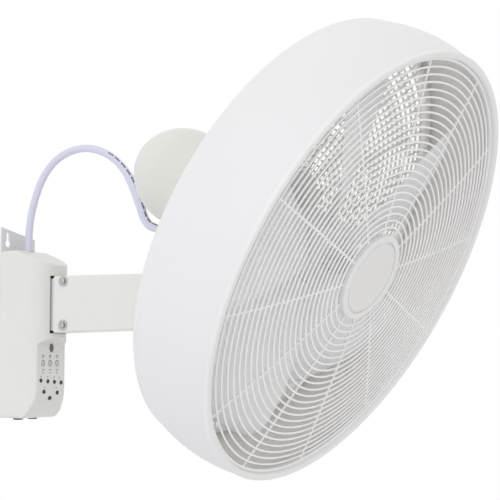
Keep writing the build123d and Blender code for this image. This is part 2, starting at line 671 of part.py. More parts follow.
BOLT_HEAD = 5.0
NUT_HEIGHT = 6.0
arm_side = ARM_WIDTH / 2
with BuildPart() as tilt_bolt:
    with BuildSketch(Plane.YZ.offset(-arm_side - BOLT_HEAD)):
        with Locations((-PIVOT_REACH, PIVOT_RISE)):
            RegularPolygon(7.5, 6)
    extrude(amount=BOLT_HEAD)
    with BuildSketch(Plane.YZ.offset(-arm_side)):
        with Locations((-PIVOT_REACH, PIVOT_RISE)):
            Circle(BOLT_RADIUS)
    extrude(amount=ARM_WIDTH + NUT_HEIGHT + 2)
finish(tilt_bolt, "tilt_bolt")

with BuildPart() as tilt_nut:
    with BuildSketch(Plane.YZ.offset(arm_side)):
        with Locations((-PIVOT_REACH, PIVOT_RISE)):
            RegularPolygon(7.5, 6)
            Circle(BOLT_RADIUS + RUNNING, mode=Mode.SUBTRACT)
    extrude(amount=NUT_HEIGHT)
finish(tilt_nut, "tilt_nut")

# ================================================================== cable
gland_mouth = pivot + swing_up * NECK_GLAND_Z + backward * NECK_GLAND_REACH
route = [Vector(*point) for point in CABLE_ROUTE]
route += [gland_mouth + backward * CABLE_LAST_RUN, gland_mouth]


def fillet_radii(points):
    """Arc of each corner: 0.45 of its shorter run over the tangent of half the turn."""
    radii = []
    for before, corner, after in zip(points, points[1:], points[2:]):
        run_in, run_out = corner - before, after - corner
        half_turn = radians(run_in.get_angle(run_out)) / 2
        radii.append(0.45 * min(run_in.length, run_out.length) * cos(half_turn) / sin(half_turn))
    return radii


cable_radii = fillet_radii(route)
with BuildPart() as cable:
    with BuildLine() as cable_path:
        FilletPolyline(*route, radius=cable_radii)
    with BuildSketch(Plane(route[0], z_dir=route[1] - route[0])):
        Circle(CABLE_DIAMETER / 2)
    sweep(path=cable_path.wires()[0])
finish(cable, "cable")
cable_length = cable_path.wires()[0].length
section_area = pi * (CABLE_DIAMETER / 2) ** 2
print("cable length", round(cable_length, 1), "volume over section times length",
      round(cable.part.volume / (section_area * cable_length), 4))
print("cable radii", [round(radius, 1) for radius in cable_radii])

# ================================================================== swing drive
crank_height = COLLAR_TOP + 2 * LINK_THICKNESS + 2
crank_top = crank_height + 4.0
link_bottom = COLLAR_TOP + LINK_THICKNESS
boss_bottom = COLLAR_TOP + SHOULDER_HEIGHT + 1.0
centre_gap = sqrt(SWING_CENTRE ** 2 + LUG_REACH ** 2)
pin_x = CRANK_THROW * SWING_CENTRE / centre_gap
pin_y = SWING_CENTRE + CRANK_THROW * LUG_REACH / centre_gap

with BuildPart() as stem_washer:
    with BuildSketch(NECK.offset(COLLAR_TOP + SHOULDER_HEIGHT)):
        Circle(11.0)
        Circle(STEM_RADIUS + RUNNING, mode=Mode.SUBTRACT)
    extrude(amount=0.9)
finish(stem_washer, "stem_washer")

with BuildPart() as stem_screw:
    with BuildSketch(NECK.offset(STEM_TOP)):
        Circle(10.0)
    extrude(amount=2.0)
    with BuildSketch(NECK.offset(STEM_TOP)):
        Circle(SCREW_RADIUS)
    extrude(amount=-14.0)
finish(stem_screw, "stem_screw")

with BuildPart() as lug_rivet:
    with BuildSketch(NECK.offset(COLLAR_TOP - LUG_THICKNESS)):
        with Locations((LUG_REACH, 0)):
            Circle(PIN_RADIUS - RUNNING)
    extrude(amount=LUG_THICKNESS + 2 * LINK_THICKNESS + 0.3)
    with BuildSketch(NECK.offset(COLLAR_TOP + 2 * LINK_THICKNESS + 0.3)):
        with Locations((LUG_REACH, 0)):
            Circle(3.8)
    extrude(amount=1.0)
finish(lug_rivet, "lug_rivet")

with BuildPart() as swing_link:
    with BuildSketch(NECK.offset(link_bottom)):
        SlotCenterPoint(((LUG_REACH + pin_x) / 2, pin_y / 2), (pin_x, pin_y), LINK_BAR_WIDTH)
        with Locations((LUG_REACH, 0), (pin_x, pin_y)):
            Circle(LINK_EYE_RADIUS)
            Circle(PIN_RADIUS + RUNNING, mode=Mode.SUBTRACT)
    extrude(amount=LINK_THICKNESS)
finish(swing_link, "swing_link")

with BuildPart() as crank_disc:
    with BuildSketch(NECK.offset(crank_height)):
        with Locations((0, SWING_CENTRE)):
            Circle(CRANK_RADIUS)
            Circle(3.0 + RUNNING, mode=Mode.SUBTRACT)
    extrude(amount=4.0)
    # the pin stops just above the link: this joint of the closed linkage is left open
    with BuildSketch(NECK.offset(crank_height)):
        with Locations((pin_x, pin_y)):
            Circle(PIN_RADIUS)
    extrude(amount=link_bottom + LINK_THICKNESS + 0.4 - crank_height)
finish(crank_disc, "crank_disc")

swing_motor_bottom = crank_top + 3.0
shelf_bottom = swing_motor_bottom + SWING_MOTOR_HEIGHT
with BuildPart() as swing_motor:
    with BuildSketch(NECK.offset(swing_motor_bottom)):
        with Locations((0, SWING_CENTRE)):
            Circle(SWING_MOTOR_RADIUS)
    extrude(amount=SWING_MOTOR_HEIGHT)
    with BuildSketch(NECK.offset(swing_motor_bottom)):
        with Locations((0, SWING_CENTRE)):
            Circle(3.0)
    extrude(amount=crank_height - swing_motor_bottom + 0.5)
finish(swing_motor, "swing_motor")

SHIELD_GAP = SHIELD_REAR + FRAME_PLATE / 2 - RING_AHEAD
with BuildPart() as swing_frame:
    with BuildSketch(across(SHIELD_REAR + FRAME_PLATE)):
        Circle(MOTOR_RADIUS)
        Circle(BEARING_RADIUS, mode=Mode.SUBTRACT)
        with PolarLocations(MOTOR_BOLT_CIRCLE, 4, start_angle=45):
            Circle(SCREW_RADIUS + RUNNING, mode=Mode.SUBTRACT)
    extrude(amount=FRAME_PLATE)
    with BuildSketch(NECK.offset(boss_bottom)):
        Circle(BOSS_RADIUS)
        with Locations((0, -7.5)):
            Rectangle(BOSS_RADIUS, 10)
    extrude(amount=STEM_TOP - 0.2 - boss_bottom)
    with BuildSketch(NECK.offset(shelf_bottom)):
        with Locations((0, SWING_CENTRE - 14)):
            Rectangle(34, 60)
        with Locations((0, SWING_CENTRE)):
            Circle(SWING_MOTOR_RADIUS)
        with Locations((0, -7)):
            Rectangle(34, 16)
    extrude(amount=FRAME_PLATE)
    with BuildSketch(NECK.offset(boss_bottom)):
        Circle(STEM_RADIUS + RUNNING)
    extrude(amount=STEM_TOP + 20 - boss_bottom, mode=Mode.SUBTRACT)
    # notch in the plate's lower edge that the lug and its rivet pass at full swing
    with BuildSketch(NECK.offset(COLLAR_TOP - LUG_THICKNESS)):
        with Locations((LUG_REACH - 3, SHIELD_GAP)):
            Rectangle(LUG_REACH + 8, 2 * FRAME_PLATE + 2)
    extrude(amount=boss_bottom - COLLAR_TOP + LUG_THICKNESS, mode=Mode.SUBTRACT)
finish(swing_frame, "swing_frame")

# ================================================================== motor
core_rear = CORE_FRONT + CORE_LENGTH
with BuildPart() as motor_front_shield:
    with BuildSketch(across(CORE_FRONT)):
        Circle(MOTOR_RADIUS)
    extrude(amount=CORE_FRONT - SHIELD_FRONT)
    with BuildSketch(across(CORE_FRONT)):
        Circle(MOTOR_RADIUS - MOTOR_WALL)
    extrude(amount=CORE_FRONT - SHIELD_FRONT - MOTOR_WALL, mode=Mode.SUBTRACT)
    with BuildSketch(across(SHIELD_FRONT + MOTOR_WALL)):
        Circle(NOSE_RADIUS)
    extrude(amount=NOSE_LENGTH + MOTOR_WALL)
    with BuildSketch(across(SHIELD_FRONT + MOTOR_WALL)):
        Circle(BEARING_RADIUS + RUNNING)
    extrude(amount=2 * NOSE_LENGTH, mode=Mode.SUBTRACT)
    with BuildSketch(across(SHIELD_FRONT + MOTOR_WALL)):
        with PolarLocations(30, 4, start_angle=0):
            Circle(SCREW_RADIUS)
        with PolarLocations(MOTOR_BOLT_CIRCLE, 4, start_angle=45):
            Circle(SCREW_RADIUS + RUNNING)
    extrude(amount=2 * MOTOR_WALL, mode=Mode.SUBTRACT)
    with BuildSketch(across(CORE_FRONT)):
        with PolarLocations(MOTOR_BOLT_CIRCLE, 4, start_angle=45):
            Circle(SCREW_RADIUS + RUNNING)
    extrude(amount=CORE_FRONT - SHIELD_FRONT, mode=Mode.SUBTRACT)
finish(motor_front_shield, "motor_front_shield")

with BuildPart() as motor_rear_shield:
    with BuildSketch(across(SHIELD_REAR)):
        Circle(MOTOR_RADIUS)
    extrude(amount=SHIELD_REAR - core_rear)
    with BuildSketch(across(core_rear)):
        Circle(MOTOR_RADIUS - MOTOR_WALL)
    extrude(amount=-(SHIELD_REAR - core_rear - MOTOR_WALL), mode=Mode.SUBTRACT)
    with BuildSketch(across(SHIELD_REAR)):
        Circle(BEARING_RADIUS + 4)
    extrude(amount=NOSE_LENGTH + MOTOR_WALL)
    with BuildSketch(across(SHIELD_REAR)):
        Circle(BEARING_RADIUS + RUNNING)
        with PolarLocations(MOTOR_BOLT_CIRCLE, 4, start_angle=45):
            Circle(SCREW_RADIUS + RUNNING)
    extrude(amount=SHIELD_REAR - core_rear, mode=Mode.SUBTRACT)
finish(motor_rear_shield, "motor_rear_shield")

with BuildPart() as stator_core:
    with BuildSketch(across(core_rear)):
        Circle(MOTOR_RADIUS)
        Circle(CORE_BORE, mode=Mode.SUBTRACT)
        with PolarLocations(CORE_BORE + 6, 16):
            Rectangle(8, 3.4, mode=Mode.SUBTRACT)
        with PolarLocations(MOTOR_BOLT_CIRCLE, 4, start_angle=45):
            Circle(SCREW_RADIUS + RUNNING, mode=Mode.SUBTRACT)
    extrude(amount=CORE_LENGTH)
finish(stator_core, "stator_core")

WINDING_HEIGHT = 12.0
with BuildPart() as stator_windings:
    for face_depth, direction in ((CORE_FRONT, 1), (core_rear, -1)):
        with BuildSketch(across(face_depth)):
            Circle(CORE_BORE + 12)
            Circle(CORE_BORE + 1.5, mode=Mode.SUBTRACT)
        extrude(amount=direction * WINDING_HEIGHT)
        ends = stator_windings.faces().filter_by(HEAD_AXIS).sort_by(HEAD_AXIS)
        fillet((ends[-1] if direction > 0 else ends[0]).edges(), 4.0)
finish(stator_windings, "stator_windings")

with BuildPart() as motor_bolts:
    with BuildSketch(across(SHIELD_REAR + FRAME_PLATE)):
        with PolarLocations(MOTOR_BOLT_CIRCLE, 4, start_angle=45):
            Circle(3.6)
    extrude(amount=-2.6)
    with BuildSketch(across(SHIELD_REAR + FRAME_PLATE)):
        with PolarLocations(MOTOR_BOLT_CIRCLE, 4, start_angle=45):
            Circle(SCREW_RADIUS)
    extrude(amount=SHIELD_REAR + FRAME_PLATE - SHIELD_FRONT - 0.2)
finish(motor_bolts, "motor_bolts")

for node, bearing_rear in (
        ("front_bearing", SHIELD_FRONT + MOTOR_WALL - 0.5), ("rear_bearing", SHIELD_REAR)):
    with BuildPart() as bearing:
        with BuildSketch(across(bearing_rear)):
            Circle(BEARING_RADIUS)
            Circle(SHAFT_RADIUS + RUNNING, mode=Mode.SUBTRACT)
        extrude(amount=NOSE_LENGTH + 1.5)
    finish(bearing, node)

with BuildPart() as motor_shaft:
    with BuildSketch(across(SHIELD_REAR + 4.5)):
        Circle(SHAFT_RADIUS)
    extrude(amount=SHIELD_REAR + 4.5 - HUB_FRONT + 12)
    with BuildSketch(radial_plane(0, depth=HUB_FRONT + 20)):
        Circle(1.5)
    extrude(amount=2 * SHAFT_RADIUS, both=True, mode=Mode.SUBTRACT)
finish(motor_shaft, "motor_shaft")

with BuildPart() as rotor_core:
    with BuildSketch(across(core_rear)):
        Circle(CORE_BORE - AIR_GAP)
        Circle(SHAFT_RADIUS, mode=Mode.SUBTRACT)
    extrude(amount=CORE_LENGTH)
finish(rotor_core, "rotor_core")

# ================================================================== motor covers
cover_inner = COVER_RADIUS - SHELL_WALL
COVER_LIP = 1.8
with BuildPart() as front_cover:
    with BuildSketch(COVER_PROFILE):
        with BuildLine():
            Polyline(
                (MOTOR_RADIUS + COVER_DROP + SLIP, -SHIELD_FRONT), (COVER_RADIUS, -SHIELD_FRONT),
                (COVER_RADIUS, -COVER_SPLIT), (cover_inner, -COVER_SPLIT),
                (cover_inner, -SHIELD_FRONT - SHELL_WALL),
                (MOTOR_RADIUS + COVER_DROP + SLIP, -SHIELD_FRONT - SHELL_WALL), close=True,
            )
        make_face()
    revolve(axis=COVER_AXIS)
finish(front_cover, "front_cover")



def dome_profile(inset):
    """Half outline of the rear cover: straight to the dome, a long flank arc and a round nose."""
    radius = COVER_RADIUS - inset
    length = DOME_LENGTH - inset
    nose_radius = DOME_NOSE_RADIUS - inset
    flank_radius = (radius ** 2 + length ** 2 - 2 * length * nose_radius) / (
        2 * (radius - nose_radius))
    flank_turn = degrees(atan2(length - nose_radius, flank_radius - radius))
    with BuildSketch(COVER_PROFILE) as outline:
        with BuildLine():
            nose = JernArc((0, -DOME_START - length), (1, 0), nose_radius, 90 - flank_turn)
            flank = JernArc(nose @ 1, nose % 1, flank_radius, flank_turn)
            Polyline(flank @ 1, (radius, -COVER_SPLIT), (0, -COVER_SPLIT),
                     (0, -DOME_START - length))
        make_face()
    return outline.sketch


with BuildPart() as rear_cover:
    revolve(dome_profile(0), axis=COVER_AXIS)
    revolve(dome_profile(SHELL_WALL), axis=COVER_AXIS, mode=Mode.SUBTRACT)
    # lip that plugs into the front cover
    with BuildSketch(COVER_PROFILE):
        with BuildLine():
            Polyline(
                (cover_inner - COVER_LIP, -COVER_SPLIT + 6), (cover_inner - SLIP, -COVER_SPLIT + 6),
                (cover_inner - SLIP, -COVER_SPLIT), (cover_inner + 0.5, -COVER_SPLIT),
                (cover_inner + 0.5, -COVER_SPLIT - 6), (cover_inner - COVER_LIP, -COVER_SPLIT - 6),
                close=True,
            )
        make_face()
    revolve(axis=COVER_AXIS)
    # slot that slides over the neck
    slot_length = RING_AHEAD - COVER_SPLIT + 10
    with BuildSketch(NECK.offset(COLLAR_START)):
        Circle(COLLAR_RADIUS + 2.5)
        with Locations((0, -slot_length / 2)):
            Rectangle(2 * COLLAR_RADIUS + 5, slot_length)
    extrude(amount=AXIS_RISE - 34 - COLLAR_START, mode=Mode.SUBTRACT)
finish(rear_cover, "rear_cover")

# ================================================================== drum and front ring
drum_front = RING_DEPTH
drum_mid = DRUM_DEPTH * 0.47
roll_start = DRUM_DEPTH - 12.0
with BuildPart() as drum:
    with BuildSketch(PROFILE):
        with BuildLine():
            ThreePointArc((RING_RADIUS - 0.5, -drum_front), (DRUM_BULGE, -drum_mid),
                          (DRUM_REAR_RADIUS, -roll_start))
            ThreePointArc((DRUM_REAR_RADIUS, -roll_start), (DRUM_REAR_RADIUS - 2.6, -DRUM_DEPTH + 3.6),
                          (DRUM_LIP_RADIUS, -DRUM_DEPTH))
            Line((DRUM_LIP_RADIUS, -DRUM_DEPTH), (DRUM_LIP_RADIUS, -DRUM_DEPTH + DRUM_WALL))
            ThreePointArc((DRUM_LIP_RADIUS, -DRUM_DEPTH + DRUM_WALL),
                          (DRUM_REAR_RADIUS - DRUM_WALL - 1.9, -DRUM_DEPTH + 5.4),
                          (DRUM_REAR_RADIUS - DRUM_WALL, -roll_start))
            ThreePointArc((DRUM_REAR_RADIUS - DRUM_WALL, -roll_start),
                          (DRUM_BULGE - DRUM_WALL, -drum_mid),
                          (RING_RADIUS - 0.5 - DRUM_WALL, -drum_front))
            Line((RING_RADIUS - 0.5 - DRUM_WALL, -drum_front), (RING_RADIUS - 0.5, -drum_front))
        make_face()
    revolve(axis=HEAD_AXIS)
finish(drum, "drum")

RING_SKIRT = 11.0
skirt_outer = RING_RADIUS - 0.5 - DRUM_WALL - SLIP
ledge_depth = GRILLE_RIM_DEPTH + 1.5
with BuildPart() as front_ring:
    with BuildSketch(PROFILE):
        with BuildLine():
            Polyline(
                (RING_INNER, 0), (RING_RADIUS, 0), (RING_RADIUS, -RING_DEPTH),
                (skirt_outer, -RING_DEPTH), (skirt_outer, -RING_DEPTH - RING_SKIRT),
                (skirt_outer - DRUM_WALL, -RING_DEPTH - RING_SKIRT),
                (skirt_outer - DRUM_WALL, -ledge_depth - 2), (RING_INNER - 2.5, -ledge_depth - 2),
                (RING_INNER - 2.5, -ledge_depth), (RING_INNER, -ledge_depth), close=True,
            )
        make_face()
    revolve(axis=HEAD_AXIS)
    rounded = front_ring.edges().filter_by(GeomType.CIRCLE).group_by(HEAD_AXIS)[-1]
    fillet(rounded, 2.2)
finish(front_ring, "front_ring")


# ================================================================== front grille and badge
rim_outer = RING_INNER - 0.1
rim_inner = RING_INNER - 3.2


def grille_depth(radius):
    """Depth of the front grille's wires at a radius: a shallow dome towards the room."""
    return GRILLE_RIM_DEPTH - GRILLE_RISE * (1 - (radius / rim_outer) ** 2)


def spoke_depth(radius):
    """Depth of the front grille's spokes, a little behind its rings."""
    return grille_depth(radius) + 0.3


def spoke_side(angle, inner, outer, depth_at, height):
    """Side face of a spoke that follows a dome, to be extruded both ways by half its width."""
    middle = (inner + outer) / 2
    with BuildSketch(radial_plane(angle)) as side_face:
        with BuildLine():
            ThreePointArc((inner, -depth_at(inner)), (middle, -depth_at(middle)),
                          (outer, -depth_at(outer)))
            Line((outer, -depth_at(outer)), (outer, -depth_at(outer) - height))
            ThreePointArc((outer, -depth_at(outer) - height), (middle, -depth_at(middle) - height),
                          (inner, -depth_at(inner) - height))
            Line((inner, -depth_at(inner) - height), (inner, -depth_at(inner)))
        make_face()
    return side_face.sketch


hub_depth = grille_depth(BADGE_RADIUS)
with BuildPart() as front_grille:
    for number in range(1, FRONT_RINGS + 1):
        radius = rim_inner - GRILLE_PITCH * number + GRILLE_WIRE / 2
        with BuildSketch(across(grille_depth(radius) + GRILLE_WIRE / 2)):
            Circle(radius + GRILLE_WIRE / 2)
            Circle(radius - GRILLE_WIRE / 2, mode=Mode.SUBTRACT)
    extrude(amount=GRILLE_WIRE)
    with BuildSketch(across(ledge_depth)):
        Circle(rim_outer)
        Circle(rim_inner, mode=Mode.SUBTRACT)
    extrude(amount=3.0)
    with BuildSketch(across(hub_depth + 3.0)):
        Circle(BADGE_RADIUS + 0.5)
    extrude(amount=3.0)
    for number in range(FRONT_SPOKES):
        spoke_angle = SPOKE_PHASE + number * 360 / FRONT_SPOKES
        extrude(spoke_side(spoke_angle, BADGE_RADIUS - 4, rim_inner + 0.5, spoke_depth, GRILLE_WIRE),
                amount=GRILLE_WIRE / 2, both=True)
finish(front_grille, "front_grille")

BEZEL_WIDTH = 6.5
with BuildPart() as badge_bezel:
    with BuildSketch(across(hub_depth)):
        Circle(BADGE_RADIUS)
        Circle(BADGE_RADIUS - BEZEL_WIDTH, mode=Mode.SUBTRACT)
    extrude(amount=BADGE_HEIGHT)
    fillet(badge_bezel.edges().filter_by(GeomType.CIRCLE).group_by(HEAD_AXIS)[-1], 1.4)
finish(badge_bezel, "badge_bezel")

with BuildPart() as badge_disc:
    with BuildSketch(across(hub_depth)):
        Circle(BADGE_RADIUS - BEZEL_WIDTH - 0.1)
    extrude(amount=BADGE_HEIGHT - 0.6)
    fillet(badge_disc.edges().filter_by(GeomType.CIRCLE).group_by(HEAD_AXIS)[-1], 0.8)
finish(badge_disc, "badge_disc")


# ================================================================== rear grille
def rear_depth(radius):
    """Depth of the rear grille at a radius: a shallow dome towards the wall."""
    return REAR_EDGE + REAR_DOME * (1 - (radius / REAR_FRAME_INNER) ** 2)


def rear_spoke_depth(radius):
    """Depth of the rear grille's thick spokes, a little behind its rings' front edges."""
    return rear_depth(radius) + 0.8


frame_outer = DRUM_REAR_RADIUS - DRUM_WALL - 4.5
frame_rear = DRUM_DEPTH - DRUM_WALL
REAR_RIB = 1.8
REAR_RIB_DEPTH = 3.0
with BuildPart() as rear_grille:
    for number in range(1, REAR_RINGS + 1):
        radius = REAR_FRAME_INNER - REAR_PITCH * number
        with BuildSketch(across(rear_depth(radius) + REAR_RIB_DEPTH)):
            Circle(radius + REAR_RIB / 2)
            Circle(radius - REAR_RIB / 2, mode=Mode.SUBTRACT)
    extrude(amount=REAR_RIB_DEPTH)
    with BuildSketch(PROFILE):
        with BuildLine():
            Polyline(
                (REAR_FRAME_INNER, -REAR_EDGE + 2), (frame_outer, -REAR_EDGE + 2),
                (frame_outer, -frame_rear + 3), (frame_outer - 3, -frame_rear),
                (REAR_FRAME_INNER, -frame_rear), close=True,
            )
        make_face()
    revolve(axis=HEAD_AXIS)
    with BuildSketch(across(frame_rear)):
        with PolarLocations((frame_outer + REAR_FRAME_INNER) / 2, DRUM_SCREWS, start_angle=22.5):
            Circle(1.6)
    extrude(amount=frame_rear - REAR_EDGE + 2.0, mode=Mode.SUBTRACT)
    with BuildSketch(across(SHIELD_FRONT)):
        Circle(REAR_HUB_RADIUS + 3)
        Circle(NOSE_RADIUS + SLIP, mode=Mode.SUBTRACT)
        with PolarLocations(30, 4, start_angle=0):
            Circle(SCREW_RADIUS + SLIP, mode=Mode.SUBTRACT)
    extrude(amount=3.0)
    for number in range(REAR_SPOKES):
        spoke_angle = REAR_SPOKE_PHASE + number * 360 / REAR_SPOKES
        extrude(spoke_side(spoke_angle, REAR_HUB_RADIUS, REAR_FRAME_INNER + 1.5, rear_spoke_depth, 4.0),
                amount=1.6, both=True)
finish(rear_grille, "rear_grille")

with BuildPart() as drum_screws:
    screw_circle = (frame_outer + REAR_FRAME_INNER) / 2
    with BuildSketch(across(REAR_EDGE - 2.0)):
        with PolarLocations(screw_circle, DRUM_SCREWS, start_angle=22.5):
            Circle(2.5)
    extrude(amount=1.8)
    with BuildSketch(across(REAR_EDGE - 2.0)):
        with PolarLocations(screw_circle, DRUM_SCREWS, start_angle=22.5):
            Circle(1.5)
    extrude(amount=-(frame_rear - REAR_EDGE + 1.8))
finish(drum_screws, "drum_screws")

with BuildPart() as grille_screws:
    with BuildSketch(across(SHIELD_FRONT - 3.0)):
        with PolarLocations(30, 4, start_angle=0):
            Circle(4.0)
    extrude(amount=2.4)
    with BuildSketch(across(SHIELD_FRONT - 3.0)):
        with PolarLocations(30, 4, start_angle=0):
            Circle(SCREW_RADIUS - RUNNING)
    extrude(amount=-3.0 - MOTOR_WALL - 2.0)
finish(grille_screws, "grille_screws")


# ================================================================== impeller
def blade_face(angle, radius, chord, pitch, sweep_angle):
    """Thin curved section of one blade, square to its radius."""
    plane = section_plane(angle + sweep_angle, radius, BLADE_MIDDLE, lean=pitch)
    camber = chord * BLADE_CAMBER
    half = BLADE_THICKNESS / 2
    with BuildSketch(plane) as section:
        with BuildLine():
            ThreePointArc((-chord / 2, -half), (0, camber - half), (chord / 2, -half))
            Line((chord / 2, -half), (chord / 2, half))
            ThreePointArc((chord / 2, half), (0, camber + half), (-chord / 2, half))
            Line((-chord / 2, half), (-chord / 2, -half))
        make_face()
    return section.sketch


with BuildPart() as impeller:
    with BuildSketch(across(HUB_REAR)):
        Circle(HUB_RADIUS)
    extrude(amount=HUB_REAR - HUB_FRONT)
    fillet(impeller.edges().group_by(HEAD_AXIS)[-1], 5.0)
    with BuildSketch(across(HUB_REAR)):
        Circle(HUB_RADIUS - HUB_WALL)
    extrude(amount=HUB_REAR - HUB_FRONT - 3.0, mode=Mode.SUBTRACT)
    with BuildSketch(across(HUB_REAR - 12)):
        Circle(9.0)
    extrude(amount=HUB_REAR - 12 - HUB_FRONT)
    for number in range(BLADES):
        blade_angle = BLADE_PHASE + number * 360 / BLADES
        loft([blade_face(blade_angle, *section) for section in BLADE_SECTIONS])
    with BuildSketch(across(HUB_REAR)):
        Circle(SHAFT_RADIUS + 0.02)
    extrude(amount=HUB_REAR, mode=Mode.SUBTRACT)
    with BuildSketch(radial_plane(0, depth=HUB_FRONT + 20)):
        Circle(1.55)
    extrude(amount=8.8, both=True, mode=Mode.SUBTRACT)
finish(impeller, "impeller")

with BuildPart() as hub_pin:
    with BuildSketch(radial_plane(0, depth=HUB_FRONT + 20)):
        Circle(1.45)
    extrude(amount=8.6, both=True)
finish(hub_pin, "hub_pin")

with BuildPart() as spinner_nut:
    with BuildSketch(across(HUB_FRONT)):
        Circle(13.0)
        with PolarLocations(13.0, 6):
            Circle(2.2, mode=Mode.SUBTRACT)
    extrude(amount=14.0)
    fillet(spinner_nut.edges().group_by(HEAD_AXIS)[-1], 1.5)
    with BuildSketch(across(HUB_FRONT)):
        Circle(SHAFT_RADIUS + 0.02)
    extrude(amount=12.2, mode=Mode.SUBTRACT)
finish(spinner_nut, "spinner_nut")
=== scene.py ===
"""Looks of the wall mounted fan: finishes, the fine grilles, the drum, the blades and the cable.

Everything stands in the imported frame, in metres. Pieces of the head are drawn in millimetres in
the head's own frame (x right, y up, z forward along the fan's axis) and carried over by HEAD.
"""
import bmesh
import bpy
import json
from math import atan2, cos, pi, radians, sin, sqrt, tau
from mathutils import Matrix, Vector


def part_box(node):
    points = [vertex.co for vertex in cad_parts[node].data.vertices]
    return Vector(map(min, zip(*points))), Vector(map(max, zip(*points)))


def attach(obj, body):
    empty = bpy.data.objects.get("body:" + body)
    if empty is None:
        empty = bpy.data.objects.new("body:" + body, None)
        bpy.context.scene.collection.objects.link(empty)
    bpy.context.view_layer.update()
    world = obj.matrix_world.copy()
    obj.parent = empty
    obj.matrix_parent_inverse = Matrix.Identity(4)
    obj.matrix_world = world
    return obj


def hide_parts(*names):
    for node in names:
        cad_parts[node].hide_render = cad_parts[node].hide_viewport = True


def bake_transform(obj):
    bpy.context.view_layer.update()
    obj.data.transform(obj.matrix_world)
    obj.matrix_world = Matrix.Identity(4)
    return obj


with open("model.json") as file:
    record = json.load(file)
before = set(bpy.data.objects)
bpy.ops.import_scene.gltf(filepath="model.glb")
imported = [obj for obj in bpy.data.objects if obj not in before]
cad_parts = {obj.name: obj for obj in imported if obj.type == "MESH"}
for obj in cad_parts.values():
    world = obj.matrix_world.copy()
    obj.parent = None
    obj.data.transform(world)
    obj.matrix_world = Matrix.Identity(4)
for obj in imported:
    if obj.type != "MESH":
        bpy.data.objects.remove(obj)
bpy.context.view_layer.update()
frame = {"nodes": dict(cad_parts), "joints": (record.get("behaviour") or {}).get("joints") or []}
nodes = frame["nodes"]

MM = 0.001
joints = {joint["name"]: joint for joint in frame["joints"]}
pivot = Vector(joints["tilt"]["pos_m"])
right = Vector((1, 0, 0))
swing_up = Vector(joints["swing"]["axis"]).normalized()
forward = Vector(joints["fan_spin"]["axis"]).normalized()
RING_AHEAD = 206.0              # swing axis to the front ring
ring_centre = Vector(joints["fan_spin"]["pos_m"]) + forward * RING_AHEAD * MM


def frame_matrix(origin, x_axis, y_axis, z_axis):
    """Matrix from millimetres along the three axes to metres in the row frame."""
    columns = Matrix((x_axis * MM, y_axis * MM, z_axis * MM)).transposed()
    return Matrix.Translation(origin) @ columns.to_4x4()


HEAD = frame_matrix(ring_centre, right, swing_up, forward)
WORLD = Matrix.Scale(MM, 4)

# ------------------------------------------------------------------ sizes, in millimetres
RING_RADIUS = 230.0
RING_INNER = 223.0
RING_DEPTH = 5.2
DRUM_BULGE = 235.7
DRUM_REAR_RADIUS = 230.8
DRUM_DEPTH = 95.5
DRUM_WALL = 2.5
DRUM_LIP_RADIUS = 222.5

GRILLE_RIM_DEPTH = 5.9
GRILLE_RISE = 10.0
GRILLE_PITCH = 7.3
GRILLE_WIRE = 2.1
FRONT_RINGS = 24
FRONT_SPOKES = 12
SPOKE_PHASE = 15.0
BADGE_RADIUS = 45.0
BADGE_HEIGHT = 3.6
BEZEL_WIDTH = 6.5

REAR_EDGE = 85.5
REAR_DOME = 25.5
REAR_FRAME_INNER = 219.0
REAR_RINGS = 23
REAR_PITCH = 6.6
REAR_SPOKES = 15
REAR_SPOKE_PHASE = 41.7
RIBS_PER_BAY = 6
REAR_HUB_RADIUS = 63.0
REAR_HUB_HOLE = 14.3
REAR_HUB_DEPTH = 113.5
REAR_HUB_PLATE = 3.0

BLADES = 5
BLADE_PHASE = 25.0
BLADE_MIDDLE = 60.0
HUB_RADIUS = 36.0
HUB_FRONT = 40.0
HUB_REAR = 84.0
BLADE_THICKNESS = 2.4
BLADE_CAMBER = 0.055            # height of a blade's arch as a share of its chord
HUB_WALL = 2.5
BORE_RADIUS = 4.1
SLEEVE_RADIUS = 9.0
SLEEVE_LENGTH = 12.0
# radius, chord, pitch and sweep in degrees of the blade's sections, root to tip
BLADE_SECTIONS = [
    (34.5, 56.0, 38.0, 0.0), (60.0, 82.0, 33.0, 1.0), (80.0, 102.0, 28.5, 2.0),
    (110.0, 132.0, 23.0, 4.0), (140.0, 150.0, 20.5, 6.0), (165.0, 156.0, 19.5, 7.5),
    (180.0, 150.0, 19.0, 8.5), (190.0, 134.0, 18.5, 9.5), (196.0, 106.0, 18.0, 10.5),
    (199.0, 66.0, 18.0, 11.0),
]

ARM_SCREW_PLACE = -81.0
ARM_SCREW_HEIGHTS = (25.5, -23.5)
PANEL_FACE = -53.5

MARK_COLUMNS = (-14.0, -2.0, 10.0)
# places (x, z) of the single ticks over the two rows of windows
WINDOW_TICKS = [
    (-17.0, -80.6), (-6.0, -81.0), (5.0, -81.4), (15.0, -82.0), (-11.0, -92.6), (9.0, -93.2),
]

CABLE_DIAMETER = 8.5
NECK_GLAND_Z = 49.0
NECK_GLAND_REACH = 20.0
CABLE_LAST_RUN = 18.0
CABLE_SIDES = 24
CURVE_STEPS = 12                # points of the smooth line from one control point to the next
PRINT_START = 0.58              # share of the cable's length at which its print starts
PRINT_ANGLE = 248.0             # degrees about the cable, at its exit
PRINT_TWIST = 40.0              # degrees that the print turns back over the whole length
# stretch that is pressed flat: its middle and half its length, as shares of the cable's length,
# and how much wider and thinner it is there
PRESS_MIDDLE = 0.79
PRESS_HALF = 0.15
PRESS_WIDER = 0.34
PRESS_THINNER = 0.14
